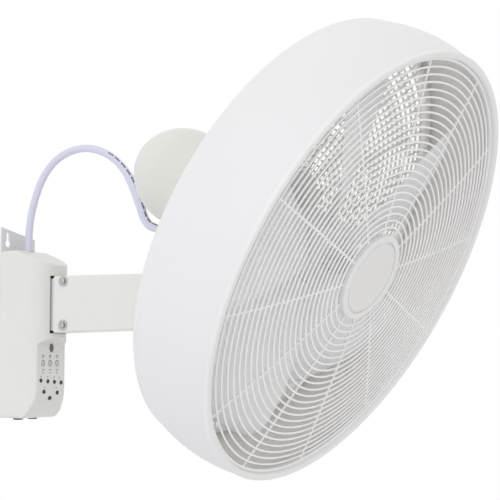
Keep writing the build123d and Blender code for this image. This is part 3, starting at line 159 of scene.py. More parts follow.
# control points of the free cable, as (x, y, z), from the box to the neck
CABLE_ROUTE = [
    (0.0, -17.5, 64.5), (0.0, -17.5, 92.0), (0.0, -25.0, 121.0), (0.0, -38.0, 149.5),
    (0.0, -61.5, 170.5), (0.0, -98.0, 178.0), (0.0, -133.0, 166.5), (0.0, -157.5, 145.0),
    (0.0, -173.5, 113.0), (0.0, -183.5, 84.2),
]


# ------------------------------------------------------------------ materials
def node_material(name):
    """New material with its shader, and its node and link makers."""
    made = bpy.data.materials.new(name)
    made.use_nodes = True
    tree = made.node_tree
    return made, tree, tree.nodes["Principled BSDF"]


def noise(tree, scale, detail=3.0):
    """Noise texture over the piece's own coordinates."""
    place = tree.nodes.new("ShaderNodeTexCoord")
    texture = tree.nodes.new("ShaderNodeTexNoise")
    texture.inputs["Scale"].default_value = scale
    texture.inputs["Detail"].default_value = detail
    tree.links.new(place.outputs["Object"], texture.inputs["Vector"])
    return texture


def vary(tree, shader, texture, low, high):
    """Colour that wanders between low and high with the texture."""
    ramp = tree.nodes.new("ShaderNodeValToRGB")
    ramp.color_ramp.elements[0].position = 0.35
    ramp.color_ramp.elements[1].position = 0.65
    ramp.color_ramp.elements[0].color = (*low, 1.0)
    ramp.color_ramp.elements[1].color = (*high, 1.0)
    tree.links.new(texture.outputs["Fac"], ramp.inputs["Fac"])
    tree.links.new(ramp.outputs["Color"], shader.inputs["Base Color"])


def bump(tree, shader, texture, strength, distance):
    """Relief of the texture on the shader's normal."""
    relief = tree.nodes.new("ShaderNodeBump")
    relief.inputs["Strength"].default_value = strength
    relief.inputs["Distance"].default_value = distance
    tree.links.new(texture.outputs["Fac"], relief.inputs["Height"])
    tree.links.new(relief.outputs["Normal"], shader.inputs["Normal"])


def shaded(name, colour, roughness, spread=0.02, patch=9.0, grain=900.0, relief=0.05,
           metallic=0.0, coat=0.0, specular=0.5):
    """Moulded or painted surface: slow patches of colour, a fine grain and uneven gloss."""
    made, tree, shader = node_material(name)
    low = tuple(max(channel * (1 - spread), 0.0) for channel in colour)
    high = tuple(min(channel * (1 + spread), 1.0) for channel in colour)
    vary(tree, shader, noise(tree, patch), low, high)
    gloss = noise(tree, patch * 6, 4.0)
    dull = tree.nodes.new("ShaderNodeMapRange")
    dull.inputs["To Min"].default_value = max(roughness - 0.06, 0.02)
    dull.inputs["To Max"].default_value = min(roughness + 0.06, 1.0)
    tree.links.new(gloss.outputs["Fac"], dull.inputs["Value"])
    tree.links.new(dull.outputs["Result"], shader.inputs["Roughness"])
    bump(tree, shader, noise(tree, grain, 2.0), relief, 0.0002)
    shader.inputs["Metallic"].default_value = metallic
    shader.inputs["Coat Weight"].default_value = coat
    shader.inputs["Specular IOR Level"].default_value = specular
    return made


def milky(name, colour, clear):
    """Milky moulding that lets some light through."""
    made, tree, shader = node_material(name)
    vary(tree, shader, noise(tree, 6.0), tuple(c * 0.97 for c in colour), colour)
    shader.inputs["Roughness"].default_value = 0.45
    shader.inputs["Transmission Weight"].default_value = clear
    shader.inputs["Subsurface Weight"].default_value = 0.5
    shader.inputs["Subsurface Radius"].default_value = (1.0, 1.0, 1.0)
    shader.inputs["Subsurface Scale"].default_value = 0.012
    shader.inputs["IOR"].default_value = 1.45
    bump(tree, shader, noise(tree, 40.0), 0.05, 0.001)
    return made


def brushed(name, colour, roughness, stretch=60.0):
    """Turned or rolled metal with fine drawn streaks."""
    made, tree, shader = node_material(name)
    place = tree.nodes.new("ShaderNodeTexCoord")
    spread = tree.nodes.new("ShaderNodeMapping")
    spread.inputs["Scale"].default_value = (1.0, 1.0, stretch)
    streaks = tree.nodes.new("ShaderNodeTexNoise")
    streaks.inputs["Scale"].default_value = 60.0
    streaks.inputs["Detail"].default_value = 4.0
    tree.links.new(place.outputs["Object"], spread.inputs["Vector"])
    tree.links.new(spread.outputs["Vector"], streaks.inputs["Vector"])
    vary(tree, shader, streaks, tuple(c * 0.86 for c in colour), colour)
    shader.inputs["Metallic"].default_value = 1.0
    shader.inputs["Roughness"].default_value = roughness
    bump(tree, shader, streaks, 0.1, 0.0001)
    return made


def laminated(name, colour, pitch, direction):
    """Stacked sheets or wound wire: bands square to the direction."""
    made, tree, shader = node_material(name)
    place = tree.nodes.new("ShaderNodeTexCoord")
    along = tree.nodes.new("ShaderNodeVectorMath")
    along.operation = "DOT_PRODUCT"
    along.inputs[1].default_value = direction
    waves = tree.nodes.new("ShaderNodeMath")
    waves.operation = "SINE"
    count = tree.nodes.new("ShaderNodeMath")
    count.operation = "MULTIPLY"
    count.inputs[1].default_value = tau / (pitch * MM)
    tree.links.new(place.outputs["Object"], along.inputs[0])
    tree.links.new(along.outputs["Value"], count.inputs[0])
    tree.links.new(count.outputs["Value"], waves.inputs[0])
    tint = tree.nodes.new("ShaderNodeMapRange")
    tint.inputs["From Min"].default_value = -1.0
    ramp = tree.nodes.new("ShaderNodeValToRGB")
    ramp.color_ramp.elements[0].color = (*(c * 0.6 for c in colour), 1.0)
    ramp.color_ramp.elements[1].color = (*colour, 1.0)
    tree.links.new(waves.outputs["Value"], tint.inputs["Value"])
    tree.links.new(tint.outputs["Result"], ramp.inputs["Fac"])
    tree.links.new(ramp.outputs["Color"], shader.inputs["Base Color"])
    shader.inputs["Metallic"].default_value = 0.8
    shader.inputs["Roughness"].default_value = 0.45
    return made


def sheath(name, colour, ink):
    """Cable sheath with a broken line of plain ticks printed along part of its length."""
    made, tree, shader = node_material(name)
    vary(tree, shader, noise(tree, 14.0), tuple(c * 0.97 for c in colour), colour)
    ground = shader.inputs["Base Color"].links[0].from_socket
    place = tree.nodes.new("ShaderNodeAttribute")
    place.attribute_name = "print_place"
    split = tree.nodes.new("ShaderNodeSeparateXYZ")
    tree.links.new(place.outputs["Vector"], split.inputs["Vector"])

    def maths(operation, first, second):
        step = tree.nodes.new("ShaderNodeMath")
        step.operation = operation
        for socket, value in zip(step.inputs, (first, second)):
            if isinstance(value, (int, float)):
                socket.default_value = value
            else:
                tree.links.new(value, socket)
        return step.outputs["Value"]

    along, around = split.outputs["X"], split.outputs["Y"]
    words = maths("GREATER_THAN", maths("FRACT", maths("DIVIDE", along, 0.0105), 0.0), 0.22)
    strokes = maths("GREATER_THAN", maths("FRACT", maths("DIVIDE", along, 0.0017), 0.0), 0.2)
    band = maths("LESS_THAN", maths("ABSOLUTE", around, 0.0), 0.00085)
    printed = maths("GREATER_THAN", along, 0.0)
    mask = maths("MULTIPLY", maths("MULTIPLY", words, strokes), maths("MULTIPLY", band, printed))
    mix = tree.nodes.new("ShaderNodeMix")
    mix.data_type = "RGBA"
    mix.inputs["B"].default_value = (*ink, 1.0)
    tree.links.new(mask, mix.inputs["Factor"])
    tree.links.new(ground, mix.inputs["A"])
    tree.links.new(mix.outputs["Result"], shader.inputs["Base Color"])
    shader.inputs["Roughness"].default_value = 0.38
    bump(tree, shader, noise(tree, 500.0), 0.06, 0.0002)
    return made


material = {
    "drum": shaded("drum_satin", (0.775, 0.775, 0.785), 0.42, 0.012, 5.0, 700.0, 0.05),
    # the drum's inside is the same plastic as its outside; its lighter, warmer colour is painted light
    # that brightens the shaded inside of the drum
    "drum_inside_painted_light": shaded("drum_satin_inside_painted_light", (0.83, 0.81, 0.785), 0.5, 0.015, 5.0, 700.0, 0.05),
    "ring": shaded("ring_satin", (0.79, 0.79, 0.79), 0.40, 0.01),
    "wire": shaded("grille_coating", (0.88, 0.875, 0.86), 0.38, 0.015, 20.0),
    "rear_mesh": shaded("rear_grille_moulding", (0.84, 0.835, 0.805), 0.45, 0.015, 20.0),
    "blade": milky("blade_milky", (0.95, 0.95, 0.99), 0.04),
    "box": shaded("box_satin", (0.735, 0.73, 0.705), 0.45, 0.012, 16.0, 1500.0, 0.12),
    "arm": shaded("arm_paint", (0.755, 0.75, 0.725), 0.36, 0.012, 12.0, 1200.0, 0.10, coat=0.15),
    "cover": shaded("housing_satin", (0.715, 0.71, 0.675), 0.40, 0.015, 9.0, 1200.0, 0.08),
    "badge": shaded("badge_satin", (0.76, 0.75, 0.735), 0.42, 0.01, 30.0),
    "bezel": shaded("badge_rim_satin", (0.78, 0.775, 0.775), 0.36, 0.01, 30.0),
    "neck": shaded("neck_paint", (0.72, 0.72, 0.71), 0.4, 0.02, 14.0),
    "plate": shaded("plate_paint", (0.70, 0.70, 0.725), 0.38, 0.02, 18.0, 1200.0, 0.1),
    "rubber": shaded("grommet_rubber", (0.66, 0.66, 0.70), 0.6, 0.03, 60.0),
    "nylon": shaded("nylon", (0.72, 0.72, 0.70), 0.5, 0.03, 40.0),
    "steel": brushed("screw_steel", (0.58, 0.58, 0.59), 0.3),
    "ground_steel": brushed("ground_steel", (0.60, 0.60, 0.61), 0.22, 8.0),
    "zinc": shaded("zinc_plate", (0.60, 0.61, 0.62), 0.35, 0.10, 120.0, metallic=1.0),
    "alloy": shaded("cast_alloy", (0.62, 0.62, 0.63), 0.55, 0.05, 60.0, 600.0, 0.4, metallic=1.0),
    "bronze": shaded("bush_bronze", (0.55, 0.38, 0.18), 0.4, 0.06, 200.0, metallic=1.0),
    "core": laminated("core_sheets", (0.26, 0.26, 0.27), 1.0, forward),
    "copper": laminated("winding_wire", (0.50, 0.22, 0.09), 1.1, swing_up),
    "board": shaded("board_lacquer", (0.03, 0.14, 0.05), 0.3, 0.2, 300.0),
    "black": shaded("black_moulding", (0.02, 0.02, 0.022), 0.45, 0.2, 100.0),
    "lens": shaded("lens_smoke", (0.10, 0.09, 0.10), 0.12, 0.2, 300.0, coat=0.6),
    "window": shaded("window_smoke", (0.015, 0.013, 0.015), 0.25, 0.2, 500.0, coat=0.3),
    "led": shaded("led_resin", (0.55, 0.62, 0.55), 0.15, 0.05, 400.0),
    "button": shaded("button_grey", (0.16, 0.16, 0.17), 0.35, 0.06, 150.0),
    "case": shaded("relay_case", (0.05, 0.10, 0.28), 0.35, 0.06, 120.0),
    "ink": shaded("grey_ink", (0.07, 0.065, 0.07), 0.6, 0.1, 300.0),
    "cable": sheath("cable_sheath", (0.66, 0.665, 0.80), (0.02, 0.02, 0.05)),
}

finish_of = {
    "wall_plate": "plate", "arm_bracket": "plate", "box_cover": "box", "box_base": "box",
    "base_screw": "steel", "box_grommet": "rubber", "ir_lens": "lens",
    "indicator_windows": "window", "control_board": "board", "board_screws": "steel",
    "leds": "led", "ir_receiver": "black", "relays": "case", "motor_capacitor": "black",
    "terminal_block": "nylon", "switch_board": "board", "tact_switches": "black", "arm": "arm",
    "arm_end_cap": "cover", "arm_screws": "steel", "arm_washers": "steel", "tilt_bolt": "steel",
    "tilt_nut": "steel", "tilt_washers": "nylon", "cable": "cable", "neck": "neck",
    "neck_grommet": "rubber", "stem_washer": "steel", "stem_screw": "steel",
    "lug_rivet": "steel", "swing_link": "zinc", "crank_disc": "black",
    "power_button": "button", "mode_button": "button", "drum": "drum", "front_ring": "ring",
    "front_grille": "wire", "badge_bezel": "bezel", "badge_disc": "badge",
    "rear_grille": "rear_mesh", "drum_screws": "steel", "grille_screws": "steel",
    "front_cover": "cover", "rear_cover": "cover", "motor_front_shield": "alloy",
    "motor_rear_shield": "alloy", "stator_core": "core", "stator_windings": "copper",
    "motor_bolts": "steel", "front_bearing": "bronze", "rear_bearing": "bronze",
    "swing_frame": "zinc", "swing_motor": "zinc", "motor_shaft": "ground_steel",
    "rotor_core": "core", "impeller": "blade", "hub_pin": "ground_steel",
    "spinner_nut": "nylon",
}
for node, finish in finish_of.items():
    nodes[node].data.materials.clear()
    nodes[node].data.materials.append(material[finish])


# ------------------------------------------------------------------ mesh makers
def piece(name, vertices, faces, finish, body, place=HEAD, smooth=40.0):
    """Object from drawn vertices and faces, with its finish, riding on its body."""
    mesh = bpy.data.meshes.new(name)
    mesh.from_pydata([place @ Vector(point) for point in vertices], [], faces)
    mesh.validate()
    clean = bmesh.new()
    clean.from_mesh(mesh)
    bmesh.ops.recalc_face_normals(clean, faces=clean.faces)
    clean.to_mesh(mesh)
    clean.free()
    mesh.polygons.foreach_set("use_smooth", [True] * len(mesh.polygons))
    mesh.set_sharp_from_angle(angle=radians(smooth))
    mesh.materials.append(material[finish])
    made = bpy.data.objects.new(name, mesh)
    bpy.context.scene.collection.objects.link(made)
    if body:
        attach(made, body)
    return made


def add_lathe(vertices, faces, outline, segments):
    """Closed outline of (radius, z) points turned about the fan's axis."""
    start = len(vertices)
    size = len(outline)
    for step in range(segments):
        angle = tau * step / segments
        vertices.extend((r * cos(angle), r * sin(angle), z) for r, z in outline)
    for step in range(segments):
        here = start + step * size
        there = start + (step + 1) % segments * size
        for index in range(size):
            after = (index + 1) % size
            faces.append((here + index, here + after, there + after, there + index))


def add_bar(vertices, faces, stations):
    """Bar through closed sections, with its two ends closed."""
    start = len(vertices)
    size = len(stations[0])
    for station in stations:
        vertices.extend(station)
    for step in range(len(stations) - 1):
        here = start + step * size
        for index in range(size):
            after = (index + 1) % size
            faces.append((here + index, here + after, here + size + after, here + size + index))
    faces.append(tuple(range(start + size - 1, start - 1, -1)))
    last = start + (len(stations) - 1) * size
    faces.append(tuple(range(last, last + size)))


def oval(radius, z, half_width, half_height, sides=10):
    """Rounded section of a ring, as (radius, z) points."""
    return [(radius + half_width * cos(tau * k / sides), z + half_height * sin(tau * k / sides))
            for k in range(sides)]


def radial_bar(angle, inner, outer, depth_at, width, height, steps=18):
    """Sections of a rounded bar that runs outward and follows a dome."""
    corner = min(width, height) * 0.28
    half_width, half_height = width / 2, height / 2
    ring = [(-half_width, -half_height + corner), (-half_width + corner, -half_height),
            (half_width - corner, -half_height), (half_width, -half_height + corner),
            (half_width, half_height - corner), (half_width - corner, half_height),
            (-half_width + corner, half_height), (-half_width, half_height - corner)]
    stations = []
    turn = radians(angle)
    for step in range(steps + 1):
        radius = inner + (outer - inner) * step / steps
        z = -depth_at(radius)
        stations.append([(radius * cos(turn) - side * sin(turn),
                          radius * sin(turn) + side * cos(turn), z + rise)
                         for side, rise in ring])
    return stations


def arc_points(start, middle, end, count):
    """Points on the circle through three points, from start to end."""
    (ax, ay), (bx, by), (cx, cy) = start, middle, end
    twice = 2 * (ax * (by - cy) + bx * (cy - ay) + cx * (ay - by))
    ux = ((ax**2 + ay**2) * (by - cy) + (bx**2 + by**2) * (cy - ay)
          + (cx**2 + cy**2) * (ay - by)) / twice
    uy = ((ax**2 + ay**2) * (cx - bx) + (bx**2 + by**2) * (ax - cx)
          + (cx**2 + cy**2) * (bx - ax)) / twice
    radius = sqrt((ax - ux) ** 2 + (ay - uy) ** 2)
    first, passing, last = (atan2(y - uy, x - ux) for x, y in (start, middle, end))
    sweep = (last - first) % tau
    if (passing - first) % tau > sweep:
        sweep -= tau
    return [(ux + radius * cos(first + sweep * k / count), uy + radius * sin(first + sweep * k / count))
            for k in range(count + 1)]


# ------------------------------------------------------------------ drum and front ring
def make_drum():
    """Moulded drum: bulging side, rounded rear edge and a rolled lip that holds the rear grille."""
    mid = DRUM_DEPTH * 0.47
    roll = DRUM_DEPTH - 12.0
    edge = RING_RADIUS - 0.5
    outside = arc_points((edge, -RING_DEPTH), (DRUM_BULGE, -mid), (DRUM_REAR_RADIUS, -roll), 24)
    outside += arc_points((DRUM_REAR_RADIUS, -roll), (DRUM_REAR_RADIUS - 2.6, -DRUM_DEPTH + 3.6),
                          (DRUM_LIP_RADIUS, -DRUM_DEPTH), 10)[1:]
    rear_inner = DRUM_REAR_RADIUS - DRUM_WALL
    inside = arc_points((DRUM_LIP_RADIUS, -DRUM_DEPTH + DRUM_WALL),
                        (rear_inner - 1.9, -DRUM_DEPTH + 5.4), (rear_inner, -roll), 8)
    inside += arc_points((rear_inner, -roll), (DRUM_BULGE - DRUM_WALL, -mid),
                         (edge - DRUM_WALL, -RING_DEPTH), 24)[1:]
    vertices, faces = [], []
    add_lathe(vertices, faces, outside + inside, 288)
    made = piece("drum_shell", vertices, faces, "drum", "head")
    # inner faces take the lighter, warmer copy of the drum plastic: painted light inside the drum
    made.data.materials.append(material["drum_inside_painted_light"])
    for face in made.data.polygons:
        outward = face.center - ring_centre
        outward -= forward * outward.dot(forward)
        face.material_index = 1 if face.normal.dot(outward) < 0 else 0
    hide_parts("drum")


def make_front_ring():
    """Rolled bezel in front of the drum, with its skirt and the ledge for the grille."""
    skirt = RING_RADIUS - 0.5 - DRUM_WALL - 0.3
    ledge = -GRILLE_RIM_DEPTH - 1.5
    outline = arc_points((RING_INNER, -1.4), (RING_INNER + 1.0, -0.35), (RING_INNER + 2.4, 0), 4)
    outline += arc_points((RING_RADIUS - 2.2, 0), (RING_RADIUS - 0.65, -0.65), (RING_RADIUS, -2.2), 4)
    outline += [(RING_RADIUS, -RING_DEPTH + 0.3), (RING_RADIUS - 0.3, -RING_DEPTH),
                (skirt, -RING_DEPTH), (skirt, -RING_DEPTH - 11), (skirt - DRUM_WALL, -RING_DEPTH - 11),
                (skirt - DRUM_WALL, ledge - 2), (RING_INNER - 2.5, ledge - 2),
                (RING_INNER - 2.5, ledge), (RING_INNER, ledge)]
    vertices, faces = [], []
    add_lathe(vertices, faces, outline, 288)
    made = piece("front_ring_moulding", vertices, faces, "ring", "head")
    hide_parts("front_ring")


# ------------------------------------------------------------------ front grille and badge
def grille_depth(radius):
    """Depth of the front grille's rings at a radius."""
    return GRILLE_RIM_DEPTH - GRILLE_RISE * (1 - (radius / (RING_INNER - 0.1)) ** 2)


def make_front_grille():
    """Rings on a shallow dome with twelve bars behind them, a rim and the hub behind the badge."""
    vertices, faces = [], []
    rim_outer, rim_inner = RING_INNER - 0.1, RING_INNER - 3.2
    rim_back = -GRILLE_RIM_DEPTH - 1.5
    rim = [(rim_inner, rim_back), (rim_outer, rim_back), (rim_outer, rim_back + 2.4),
           (rim_outer - 0.6, rim_back + 3.0), (rim_inner + 0.6, rim_back + 3.0),
           (rim_inner, rim_back + 2.4)]
    add_lathe(vertices, faces, rim, 288)
    for number in range(1, FRONT_RINGS):
        radius = rim_inner - GRILLE_PITCH * number + GRILLE_WIRE / 2
        half = GRILLE_WIRE / 2
        add_lathe(vertices, faces, oval(radius, -grille_depth(radius), half, half), 192)
    for number in range(FRONT_SPOKES):
        angle = SPOKE_PHASE + number * 360 / FRONT_SPOKES
        add_bar(vertices, faces, radial_bar(
            angle, BADGE_RADIUS - 4, rim_inner + 0.4, lambda r: grille_depth(r) + 1.3, 2.3, 2.2))
    hub_back = -grille_depth(BADGE_RADIUS) - 3.0
    hub = [(0.5, hub_back), (BADGE_RADIUS, hub_back), (BADGE_RADIUS + 0.5, hub_back + 0.6),
           (BADGE_RADIUS + 0.5, hub_back + 2.9), (0.5, hub_back + 2.9)]
    add_lathe(vertices, faces, hub, 128)
    made = piece("front_grille_wires", vertices, faces, "wire", "head")
    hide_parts("front_grille")


def make_badge():
    """Bare round badge: a rounded rim with a fine groove and a slightly crowned middle."""
    base = -grille_depth(BADGE_RADIUS)
    inner = BADGE_RADIUS - BEZEL_WIDTH
    rim = [(inner, base), (BADGE_RADIUS, base)]
    rim += arc_points((BADGE_RADIUS, base + BADGE_HEIGHT - 1.8),
                      (BADGE_RADIUS - 0.6, base + BADGE_HEIGHT - 0.5),
                      (BADGE_RADIUS - 2.0, base + BADGE_HEIGHT), 5)
    rim += arc_points((inner + 1.4, base + BADGE_HEIGHT), (inner + 0.4, base + BADGE_HEIGHT - 0.4),
                      (inner, base + BADGE_HEIGHT - 1.4), 4)
    vertices, faces = [], []
    add_lathe(vertices, faces, rim, 160)
    made = piece("badge_rim", vertices, faces, "bezel", "head")
    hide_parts("badge_bezel")
    edge, top = inner - 0.1, base + BADGE_HEIGHT - 0.6
    disc = [(0.3, base), (edge, base), (edge, top - 1.2), (edge - 0.5, top - 0.9),
            (edge - 1.6, top - 0.9), (edge - 2.2, top - 0.3)]
    disc += [(radius, top - 0.3 * (radius / (edge - 3)) ** 2) for radius in (28, 20, 12, 5, 0.3)]
    vertices, faces = [], []
    add_lathe(vertices, faces, disc, 128)
    made = piece("badge_middle", vertices, faces, "badge", "head")
    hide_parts("badge_disc")


# ------------------------------------------------------------------ rear grille
def rear_depth(radius):
    """Depth of the rear grille at a radius: a shallow dome towards the wall."""
    return REAR_EDGE + REAR_DOME * (1 - (radius / REAR_FRAME_INNER) ** 2)


def make_rear_grille():
    """Fine moulded mesh: rings, fifteen thick bars, six thin ribs in each bay, frame and hub."""
    vertices, faces = [], []
    back = -(DRUM_DEPTH - DRUM_WALL)
    outer = DRUM_REAR_RADIUS - DRUM_WALL - 4.5
    rim = [(REAR_FRAME_INNER, -REAR_EDGE + 2), (outer, -REAR_EDGE + 2), (outer, back + 3),
           (outer - 3, back), (REAR_FRAME_INNER, back)]
    add_lathe(vertices, faces, rim, 240)
    for number in range(1, REAR_RINGS + 1):
        radius = REAR_FRAME_INNER - REAR_PITCH * number
        add_lathe(vertices, faces, oval(radius, -rear_depth(radius) - 1.5, 0.95, 1.5, 8), 180)
    for number in range(REAR_SPOKES):
        angle = REAR_SPOKE_PHASE + number * 360 / REAR_SPOKES
        add_bar(vertices, faces, radial_bar(
            angle, REAR_HUB_RADIUS - 3, REAR_FRAME_INNER + 1.5, lambda r: rear_depth(r) + 2.8, 3.2, 4.0))
        bay = 360 / REAR_SPOKES / (RIBS_PER_BAY + 1)
        for rib in range(1, RIBS_PER_BAY + 1):
            start = 120 if rib % 2 else REAR_HUB_RADIUS - 1
            add_bar(vertices, faces, radial_bar(
                angle + bay * rib, start, REAR_FRAME_INNER + 1, lambda r: rear_depth(r) + 1.6,
                1.7, 2.4, 10))
    hub_back, hub_face = -REAR_HUB_DEPTH, REAR_HUB_PLATE - REAR_HUB_DEPTH
    hub = [(REAR_HUB_HOLE, hub_back), (REAR_HUB_RADIUS, hub_back),
           (REAR_HUB_RADIUS, hub_face - 0.7), (REAR_HUB_RADIUS - 0.7, hub_face),
           (REAR_HUB_HOLE, hub_face)]
    add_lathe(vertices, faces, hub, 128)
    made = piece("rear_grille_mesh", vertices, faces, "rear_mesh", "head")
    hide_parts("rear_grille")


# ------------------------------------------------------------------ impeller
def blade_section(angle, radius, chord, pitch, sweep):
    """Closed thin section of a blade, square to its radius, with rounded edges."""
    turn = radians(angle + sweep)
    outward = Vector((cos(turn), sin(turn), 0))
    tangent = Vector((-sin(turn), cos(turn), 0))
    lean = radians(pitch)
    across_chord = tangent * cos(lean) + Vector((0, 0, sin(lean)))
    upright = Vector((0, 0, cos(lean))) - tangent * sin(lean)
    half = BLADE_THICKNESS / 2
    middle = outward * radius - Vector((0, 0, BLADE_MIDDLE))
    front, back = [], []
    for step in range(17):
        share = step / 8 - 1
        rise = chord * BLADE_CAMBER * (1 - share * share)
        thick = half * sqrt(max(1 - abs(share) ** 14, 0.02))
        point = middle + across_chord * share * chord / 2
        front.append(point + upright * (rise + thick))
        back.append(point + upright * (rise - thick))
    return front + back[::-1]


def make_impeller():
    """Five wide paddles with rounded tips on a round hub with a rounded front edge."""
    vertices, faces = [], []
    for number in range(BLADES):
        angle = BLADE_PHASE + number * 360 / BLADES
        add_bar(vertices, faces, [blade_section(angle, *section) for section in BLADE_SECTIONS])
    inside = HUB_RADIUS - HUB_WALL
    sleeve_end = -HUB_REAR + SLEEVE_LENGTH
    hub = [(SLEEVE_RADIUS, sleeve_end), (SLEEVE_RADIUS, -HUB_FRONT - 3), (inside, -HUB_FRONT - 3),
           (inside, -HUB_REAR), (HUB_RADIUS, -HUB_REAR), (HUB_RADIUS, -HUB_FRONT - 5)]
    hub += arc_points((HUB_RADIUS, -HUB_FRONT - 5), (HUB_RADIUS - 1.46, -HUB_FRONT - 1.46),
                      (HUB_RADIUS - 5, -HUB_FRONT), 5)[1:]
    hub += [(BORE_RADIUS, -HUB_FRONT), (BORE_RADIUS, sleeve_end)]
    add_lathe(vertices, faces, hub, 96)
    made = piece("impeller_blades", vertices, faces, "blade", "rotor", smooth=50.0)
    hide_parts("impeller")


# ------------------------------------------------------------------ screws and panel marks
def make_arm_screws():
    """Pan heads with a round recess and their shanks, in place of the plain CAD screws."""
    low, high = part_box("arm_screws")
    vertices, faces = [], []
    head, tall, recess = 3.6, 2.3, 1.5
    for side, x in ((-1, low.x / MM), (1, high.x / MM)):
        for z in ARM_SCREW_HEIGHTS:
            outline = [(0.2, tall - 1.4), (recess * 0.45, tall - 1.4), (recess, tall - 0.1)]
            outline += arc_points((recess + 0.3, tall), (head - 0.75, tall - 0.7), (head, 0.5), 6)
            outline += [(head, 0), (1.9, 0), (1.9, -2.5), (0.2, -2.5)]
            local_vertices, local_faces = [], []
            add_lathe(local_vertices, local_faces, outline, 40)
            start = len(vertices)
            vertices.extend((x + side * (rise - tall), ARM_SCREW_PLACE + a, z + b)
                            for a, b, rise in local_vertices)
            faces.extend(tuple(start + index for index in face) for face in local_faces)
    made = piece("arm_screw_heads", vertices, faces, "steel", "base", place=WORLD)
    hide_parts("arm_screws")


def make_panel_marks():
    """Plain ticks and small circles printed on the panel above the windows."""
    vertices, faces = [], []
    face_y, back_y = PANEL_FACE - 0.06, PANEL_FACE + 0.1

    def add_plate(outline):
        add_bar(vertices, faces, [[(x, face_y, z) for x, z in outline],
                                  [(x, back_y, z) for x, z in outline]])

    def add_tick(x, z, wide, tall):
        add_plate([(x - wide, z - tall), (x + wide, z - tall), (x + wide, z + tall),
                   (x - wide, z + tall)])

    for x in MARK_COLUMNS:
        add_tick(x, -57.0, 2.1, 0.4)
        add_tick(x, -58.9, 1.5, 0.4)
        for step in range(20):
            first, second = tau * step / 20, tau * (step + 1) / 20
            add_plate([(x + r * cos(a), -65.5 + 1.25 * r * sin(a))
                       for r, a in ((2.2, first), (2.9, first), (2.9, second), (2.2, second))])
        add_tick(x, -65.5, 0.4, 1.2)
        add_tick(x, -73.0, 1.8, 0.4)
        add_tick(x, -76.4, 0.4, 1.1)
    for x, z in WINDOW_TICKS:
        add_tick(x, z, 1.3, 0.3)
    piece("panel_marks", vertices, faces, "ink", "base", place=WORLD)


# ------------------------------------------------------------------ cable
def cable_line():
    """Points of the cable's smooth centreline, from its exit to the neck's gland."""
    gland = pivot + (swing_up * NECK_GLAND_Z - forward * NECK_GLAND_REACH) * MM
    route = [Vector(point) * MM for point in CABLE_ROUTE]
    route += [gland - forward * CABLE_LAST_RUN * MM, gland]
    curve = bpy.data.curves.new("cable_line", "CURVE")
    curve.dimensions = "3D"
    curve.resolution_u = CURVE_STEPS
    spline = curve.splines.new("NURBS")
    spline.points.add(len(route) - 1)
    for point, place in zip(spline.points, route):
        point.co = (*place, 1.0)
    spline.order_u = 3
    spline.use_endpoint_u = True
    holder = bpy.data.objects.new("cable_line", curve)
    bpy.context.scene.collection.objects.link(holder)
    bpy.context.view_layer.update()
    line = bpy.data.meshes.new_from_object(holder)
    points = [vertex.co.copy() for vertex in line.vertices]
    bpy.data.objects.remove(holder)
    bpy.data.meshes.remove(line)
    return points


def make_cable():
    """Cable tube along the smooth line, pressed a little flat where it turns at the neck."""
    points = cable_line()
    lengths = [0.0]
    for before, after in zip(points, points[1:]):
        lengths.append(lengths[-1] + (after - before).length)
    total = lengths[-1]
    sides = CABLE_SIDES
    radius = CABLE_DIAMETER / 2 * MM
    print_start = total * PRINT_START
    vertices, faces, places = [], [], []
    for index, point in enumerate(points):
        before = points[max(index - 1, 0)]
        after = points[min(index + 1, len(points) - 1)]
        along = (after - before).normalized()
        upward = right.cross(along).normalized()
        share = lengths[index] / total
        press = max(0.0, 1 - ((share - PRESS_MIDDLE) / PRESS_HALF) ** 2)
        wide = radius * (1 + PRESS_WIDER * press)
        thin = radius * (1 - PRESS_THINNER * press)
        for side in range(sides):
            angle = tau * side / sides
            vertices.append(point + upward * wide * cos(angle) + right * thin * sin(angle))
            line_angle = (angle - radians(PRINT_ANGLE - PRINT_TWIST * share) + pi) % tau - pi
            places.append((lengths[index] - print_start, line_angle * radius, 0.0))
    for index in range(len(points) - 1):
        here = index * sides
        for side in range(sides):
            after = (side + 1) % sides
            faces.append((here + side, here + after, here + sides + after, here + sides + side))
    faces.append(tuple(range(sides - 1, -1, -1)))
    last = (len(points) - 1) * sides
    faces.append(tuple(range(last, last + sides)))
    made = piece("cable_tube", vertices, faces, "cable", None,
                 place=Matrix.Identity(4))
    attribute = made.data.attributes.new("print_place", "FLOAT_VECTOR", "POINT")
    attribute.data.foreach_set("vector", [value for place in places for value in place])
    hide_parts("cable")
    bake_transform(made)


# ------------------------------------------------------------------ stage, light and camera
CAMERA_PLACE = (-4.862, -2.376, -0.364)     # from the ring's centre, in ring radii
CAMERA_HEADING = (0.8546, 0.5193, 0.0)
CAMERA_RISE = 5.0                           # degrees
FOCAL_LENGTH = 91.8                         # millimetres, as is the sensor
SENSOR_WIDTH = 36.0
FLOOR_HALF = 3.2
FLOOR_HEIGHT = -1.15


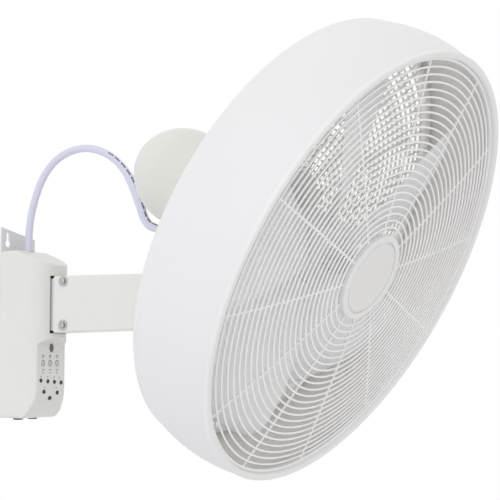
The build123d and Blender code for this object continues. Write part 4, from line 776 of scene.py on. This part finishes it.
def make_stage():
    """Pale floor well below the fan, and pale surroundings."""
    mesh = bpy.data.meshes.new("floor")
    size, low = FLOOR_HALF, FLOOR_HEIGHT
    mesh.from_pydata([(-size, -size, low), (size, -size, low), (size, size, low), (-size, size, low)],
                     [], [(0, 1, 2, 3)])
    floor = bpy.data.objects.new("floor", mesh)
    bpy.context.scene.collection.objects.link(floor)
    paint, tree, shader = node_material("floor_paint")
    vary(tree, shader, noise(tree, 0.5), (0.80, 0.80, 0.81), (0.83, 0.83, 0.84))
    shader.inputs["Roughness"].default_value = 0.9
    mesh.materials.append(paint)
    world = bpy.data.worlds.new("pale_room")
    bpy.context.scene.world = world
    world.use_nodes = True
    tree = world.node_tree
    sky = tree.nodes["Background"]
    sky.inputs["Color"].default_value = (1.0, 1.0, 1.0, 1.0)
    # the room is a little darker in front of the fan and below it
    place = tree.nodes.new("ShaderNodeTexCoord")
    facing = tree.nodes.new("ShaderNodeVectorMath")
    facing.operation = "DOT_PRODUCT"
    facing.inputs[1].default_value = Vector((0.25, -0.80, -0.55)).normalized()
    fade = tree.nodes.new("ShaderNodeMapRange")
    fade.interpolation_type = "SMOOTHSTEP"
    fade.inputs["From Min"].default_value = -0.15
    fade.inputs["From Max"].default_value = 0.95
    fade.inputs["To Min"].default_value = 1.0
    fade.inputs["To Max"].default_value = 0.86
    tree.links.new(place.outputs["Generated"], facing.inputs[0])
    tree.links.new(facing.outputs["Value"], fade.inputs["Value"])
    tree.links.new(fade.outputs["Result"], sky.inputs["Strength"])


def soft_light(name, place, target, size, power, colour=(1.0, 1.0, 1.0)):
    """Large area light aimed at a point."""
    light = bpy.data.lights.new(name, "AREA")
    light.energy = power
    light.size = size
    light.color = colour
    holder = bpy.data.objects.new(name, light)
    holder.location = place
    holder.rotation_euler = (Vector(target) - Vector(place)).to_track_quat("-Z", "Y").to_euler()
    bpy.context.scene.collection.objects.link(holder)


def make_lights():
    """Soft key from the upper left and a cool, weaker light from the lower left."""
    soft_light("key", (-2.4, -0.9, 1.0), (0, -0.4, 0.0), 1.6, 7.0)
    soft_light("low_fill", (-1.6, -0.9, -1.0), (0, -0.4, -0.1), 1.2, 3.0, (0.90, 0.91, 1.0))


def make_camera():
    """Camera at the photograph's viewing angle, looking slightly up at the fan."""
    place = ring_centre + Vector(CAMERA_PLACE) * RING_RADIUS * MM
    heading = Vector(CAMERA_HEADING).normalized()
    rise = radians(CAMERA_RISE)
    look = heading * cos(rise) + Vector((0, 0, sin(rise)))
    side = heading.cross(Vector((0, 0, 1))).normalized()
    top = side.cross(look)
    lens = bpy.data.cameras.new("camera")
    lens.lens = FOCAL_LENGTH
    lens.sensor_width = SENSOR_WIDTH
    lens.clip_end = 100.0
    camera = bpy.data.objects.new("camera", lens)
    camera.matrix_world = Matrix.Translation(place) @ Matrix(
        (side, top, -look)).transposed().to_4x4()
    bpy.context.scene.collection.objects.link(camera)
    bpy.context.scene.camera = camera


make_drum()
make_front_ring()
make_front_grille()
make_badge()
make_rear_grille()
make_impeller()
make_arm_screws()
make_panel_marks()
make_cable()
make_stage()
make_lights()
make_camera()
bpy.context.scene.view_settings.view_transform = "Standard"
